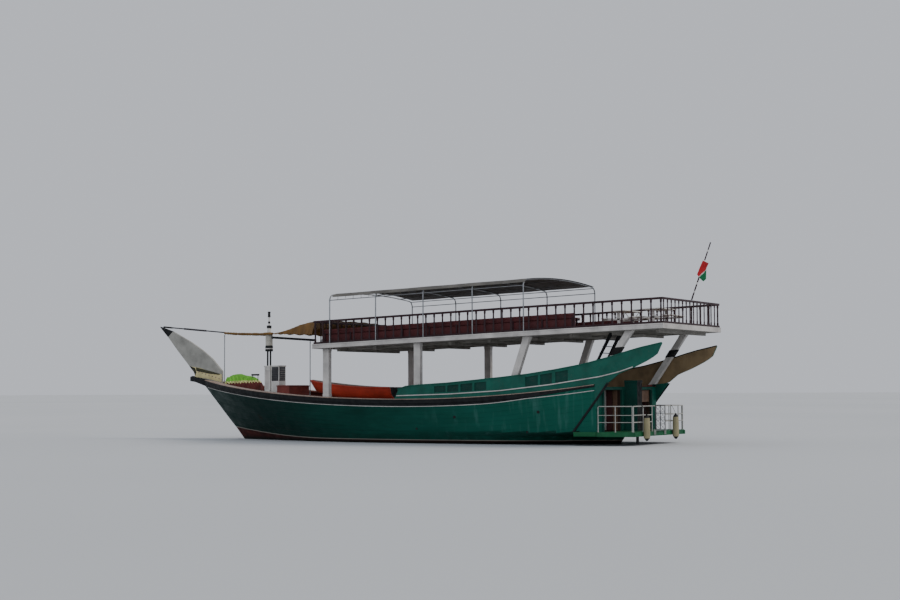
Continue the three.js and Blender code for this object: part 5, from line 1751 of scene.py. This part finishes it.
def makeSternWall():
    wall, foot, frameTop = sternWall["x"], sternWall["foot"], sternWall["frameTop"]
    half, deep = sternWall["trunkHalf"], sternWall["trunkDeep"]
    for name, side in sides.items():
        bm = bmesh.new()
        for low, high, z in sternWall["frames"]:
            y0, y1 = sorted((side * low, side * high))
            addBox(bm, (wall - 0.075, y0, z), (wall, y1, frameTop))
            addBox(bm, (wall - 0.09, y0 + 0.02, z + 0.02 * (z > 1)),
                   (wall - 0.07, y1 - 0.02, frameTop - 0.02))
        finishPiece(f"door_boards_{name}", bm, "sternGreen", replaced=[f"door_frame_{name}"],
                    bevel=0.006)
    bm = bmesh.new()
    addBox(bm, (wall - deep, -half, foot), (wall, half, sternWall["trunkTop"]))
    for z in (foot, 1.5, 2.47):
        addBox(bm, (wall - deep - 0.02, -half - 0.02, z), (wall, half + 0.02, z + 0.09))
    for y in (-0.16, 0, 0.16):
        addBox(bm, (wall - deep - 0.008, y - 0.006, 0.64), (wall - deep + 0.002, y + 0.006, 2.46), 1)
    bm.normal_update()
    for face in bm.faces:
        if face.normal.x < -0.9:
            face.material_index = 1
    finishPiece("trunk_boards", bm, ["sternGreen", "blackPaint"], replaced=["rudder_trunk"],
                bevel=0.006)

    bm = bmesh.new()
    for side in sides.values():
        for y in sternWall["battens"]:
            y0, y1 = side * y - 0.009, side * y + 0.009
            addBox(bm, (wall - 0.012, y0, 0.56), (wall - 0.0005, y1, frameTop if y < 2.6 else 2.0))
        y0, y1 = sorted((side * 2.29, side * 2.325))
        addBox(bm, (-6.15, y0, 0.56), (-5.35, y1, 2.15), 1)
        y0, y1 = sorted((side * 2.284, side * 2.30))
        for z in (0.7, 1.45):
            addBox(bm, (-6.05, y0, z), (-5.45, y1, z + 0.6), 2)
    for fore, aft, index in ((-5.20, -5.59, 4), (-5.60, -5.85, 2), (-5.88, -6.07, 3)):
        addBox(bm, (aft, 0.652, 0.56), (fore, 0.69, 2.16), index)
    addBox(bm, (-6.17, -2.3, 1.68), (-6.13, -1.2, 2.16), 3)
    finishPiece("stern_joinery", bm, ["sternGreen", "cabinDark", "doorMaroon", "deckBrown", "greyPaint"],
                bevel=0.004)


# Flagstaff with dark and pale bands, and a limp flag in three colours
flag = {
    "marks": [0, 0.13, 0.16, 0.27, 0.31, 0.40, 0.43, 0.66, 0.69, 0.84, 0.87, 1], "head": (-9.87, 0, 7.99),
    "radius": 0.030, "knob": [(0, -0.03), (0.022, -0.028), (0.027, -0.01), (0.02, 0.0), (0, 0.004)],
    "fore": [(-9.545, 7.28), (-9.50, 7.18), (-9.42, 7.02), (-9.36, 6.88), (-9.295, 6.74)],
    "aft": [(-9.80, 7.155), (-9.70, 6.98), (-9.685, 6.76), (-9.675, 6.54), (-9.56, 6.45)],
}


def makeFlag():
    foot = Vector((-9.04, 0, upperTop(-9.065) + rail["high"] + 0.0135))
    head = Vector(flag["head"])
    bm = bmesh.new()
    spots = [foot.lerp(head, share) for share in flag["marks"]]
    for k, (a, b) in enumerate(zip(spots, spots[1:])):
        addRod(bm, a, b, flag["radius"] - 0.0006 * k, 16, 1 - k % 2)
    addTurned(bm, flag["knob"], head, (head - foot).normalized(), 14, 1)
    finishPiece("staff_spar", bm, ["whitePaint", "maroon"], replaced=["flagstaff"])

    countS, countU = 30, 26

    def alongTable(table, s):
        at = s * (len(table) - 1)
        k = min(len(table) - 2, int(at))
        return Vector(table[k]).lerp(Vector(table[k + 1]), at - k)

    def ringAt(i):
        s = i / countS
        a, b = alongTable(flag["fore"], s), alongTable(flag["aft"], s)
        ring = []
        for u in spread(0, 1, countU):
            spot = a.lerp(b, u)
            wave = 0.013 * math.sin(15 * u + 2.2 * s) * min(1, 3 * u)
            ring.append(Vector((spot.x, 0.0385 + wave, spot.y - 0.03 * math.sin(math.pi * u) * s)))
        return ring

    bm = bmesh.new()
    new = addLoft(bm, list(range(countS + 1)), ringAt, closed=False)
    for face in new:
        centre = face.calc_center_median()
        tilt = centre.z + 0.9 * (centre.x + 9.55)
        face.material_index = 0 if tilt > 6.80 else 1 if tilt > 6.765 else 2
    piece = finishPiece("flag_sheet", bm, ["flagRed", "flagWhite", "flagGreen"], replaced=["flag"],
                        angle=80)


# Steep ladder from the main deck up through the hatch
companion = {
    "footX": -5.15, "headX": -6.4697, "y": 1.4, "half": 0.44, "deep": 0.07, "board": 0.024, "steps": 8,
}


def makeCompanionLadder():
    footX, headX, y = companion["footX"], companion["headX"], companion["y"]
    half, deep, board = companion["half"], companion["deep"], companion["board"]
    headZ = upperTop(headX)
    low = deckZ(footX) + 0.002
    side = [(footX, low), (footX + deep, low), (headX + deep, headZ), (headX, headZ), (headX, headZ - 0.20)]
    bm = bmesh.new()
    for y0 in (y - half, y + half - board):
        addSide(bm, side, y0, y0 + board)
    start, end = Vector((footX + deep / 2, y, low)), Vector((headX + deep, y, headZ))
    for t in spread(0.08, 0.92, companion["steps"]):
        at = start.lerp(end, t)
        addBox(bm, (at.x - 0.045, y - half + 0.005, at.z - 0.03), (at.x + 0.045, y + half - 0.005, at.z), 1)
    finishPiece("companion_steps", bm, ["blackPaint", "darkSteel"], replaced=["companion_ladder"],
                bevel=0.005)


makeSternWall()
makeFlag()
makeCompanionLadder()


# Keel, rudder on its stock with straps, and a propeller with twisted blades
rudder = {
    "stockX": -6.65, "stock": 0.06, "foot": -1.4794, "head": 0.3594, "straps": (-1.3, -0.75, -0.2),
    "blade": [(-6.6, -1.44), (-6.6, -0.02), (-7.2, -0.02), (-7.45, -0.31), (-7.45, -1.44)],
}
propeller = {
    "centre": (-5.75, 0, -0.88), "shaftFrom": (-5.2875, 0, -0.88), "shaftTo": (-5.7, 0, -0.88),
    "shaft": 0.044, "hub": [(0, -0.13), (0.085, -0.13), (0.095, -0.11), (0.09, 0.0), (0.075, 0.07),
                            (0.045, 0.11), (0, 0.12)],
    "blades": 3, "root": 0.07, "reach": 0.40, "wide": 0.165, "thick": 0.013,
}


def makeUnderwater():
    bm = bmesh.new()
    top = []
    for x in spread(hull["sternX"], hull["bowX"], 24):
        _, xKeel, zKeel = stationAt(x)[:3]
        if xKeel < 11.3:
            top.append((xKeel, zKeel - 0.0003))
    outline = top + [(11.65, -1.5), (10.4, -1.68), (-7.05, -1.68), (-7.05, -1.48), (top[0][0] - 0.15, -1.48)]
    addSide(bm, outline, -0.1, 0.1)
    finishPiece("keel_timber", bm, "bottomPaint", replaced=["keel"], bevel=0.015)

    x, stock = rudder["stockX"], rudder["stock"]
    bm = bmesh.new()
    addSide(bm, rudder["blade"], -0.03, 0.03)
    addRod(bm, (x, 0, rudder["foot"]), (x, 0, rudder["head"]), stock, 24, 1)
    for z in rudder["straps"]:
        addBox(bm, (-7.3, -0.043, z - 0.05), (-6.6, 0.043, z + 0.05), 1)
        addRod(bm, (x, 0, z - 0.07), (x, 0, z + 0.07), stock + 0.008, 24, 1)
    finishPiece("rudder_blade", bm, ["bottomPaint", "darkSteel"], body="rudder", replaced=["rudder"],
                bevel=0.008)

    bm = bmesh.new()
    centre = Vector(propeller["centre"])
    addTurned(bm, propeller["hub"], centre, Vector((-1, 0, 0)), 28)
    addRod(bm, propeller["shaftFrom"], propeller["shaftTo"], propeller["shaft"], 20)
    for k in range(propeller["blades"]):
        angle = 2 * math.pi * (k + 1) / propeller["blades"]
        turn = Matrix.Translation(centre) @ Matrix.Rotation(angle, 4, "X")

        def ringAt(s):
            radius = propeller["root"] + propeller["reach"] * s
            wide = propeller["wide"] * math.sqrt(max(0.02, 1 - (2 * (s - 0.45)) ** 2 / 1.25))
            pitch = 0.95 - 0.5 * s
            ring = []
            for a in spread(0, 2 * math.pi, 12)[:-1]:
                across, deep = wide * math.cos(a), propeller["thick"] * (1.2 - s) * math.sin(a)
                spot = Vector((across * math.sin(pitch) + deep, across * math.cos(pitch), radius))
                ring.append(turn @ spot)
            return ring

        addLoft(bm, spread(0, 1, 14), ringAt)
    finishPiece("propeller_blades", bm, "bronze", body="propeller", replaced=["propeller"],
                angle=50)


makeUnderwater()
print("stern done")


# Floor, sky light and studio lights
studio = {
    "floorSize": 900, "floor": [(0.3, (0.46, 0.48, 0.50)), (0.7, (0.50, 0.52, 0.54))],
    "sky": (0.80, 0.83, 0.90, 1), "skyStrength": 0.75,
    "lights": {
        "key": {"from": (-30, -18, 34), "strength": 1.6, "angle": 25, "colour": (1.0, 0.93, 0.85)},
        "fill": {"from": (-25, 45, 20), "strength": 0.9, "angle": 60, "colour": (0.88, 0.93, 1.0)},
    },
}


def makeStudio():
    floorMaterial, tree, shader = newMaterial("floor", 0.85)
    finishColour(tree, shader, ramp(tree, noise(tree, 0.02, 2), studio["floor"]))
    bm = bmesh.new()
    bmesh.ops.create_grid(bm, x_segments=1, y_segments=1, size=studio["floorSize"])
    mesh = bpy.data.meshes.new("floor")
    bm.to_mesh(mesh)
    bm.free()
    mesh.materials.append(floorMaterial)
    floor = bpy.data.objects.new("floor", mesh)
    bpy.context.collection.objects.link(floor)

    world = bpy.data.worlds.new("sky")
    bpy.context.scene.world = world
    world.use_nodes = True
    background = world.node_tree.nodes["Background"]
    background.inputs["Color"].default_value = studio["sky"]
    background.inputs["Strength"].default_value = studio["skyStrength"]
    for name, light in studio["lights"].items():
        sun = bpy.data.lights.new(name, "SUN")
        sun.energy = light["strength"]
        sun.angle = math.radians(light["angle"])
        sun.color = light["colour"]
        lamp = bpy.data.objects.new(name, sun)
        lamp.rotation_euler = Vector(light["from"]).to_track_quat("Z", "Y").to_euler()
        bpy.context.collection.objects.link(lamp)


makeStudio()
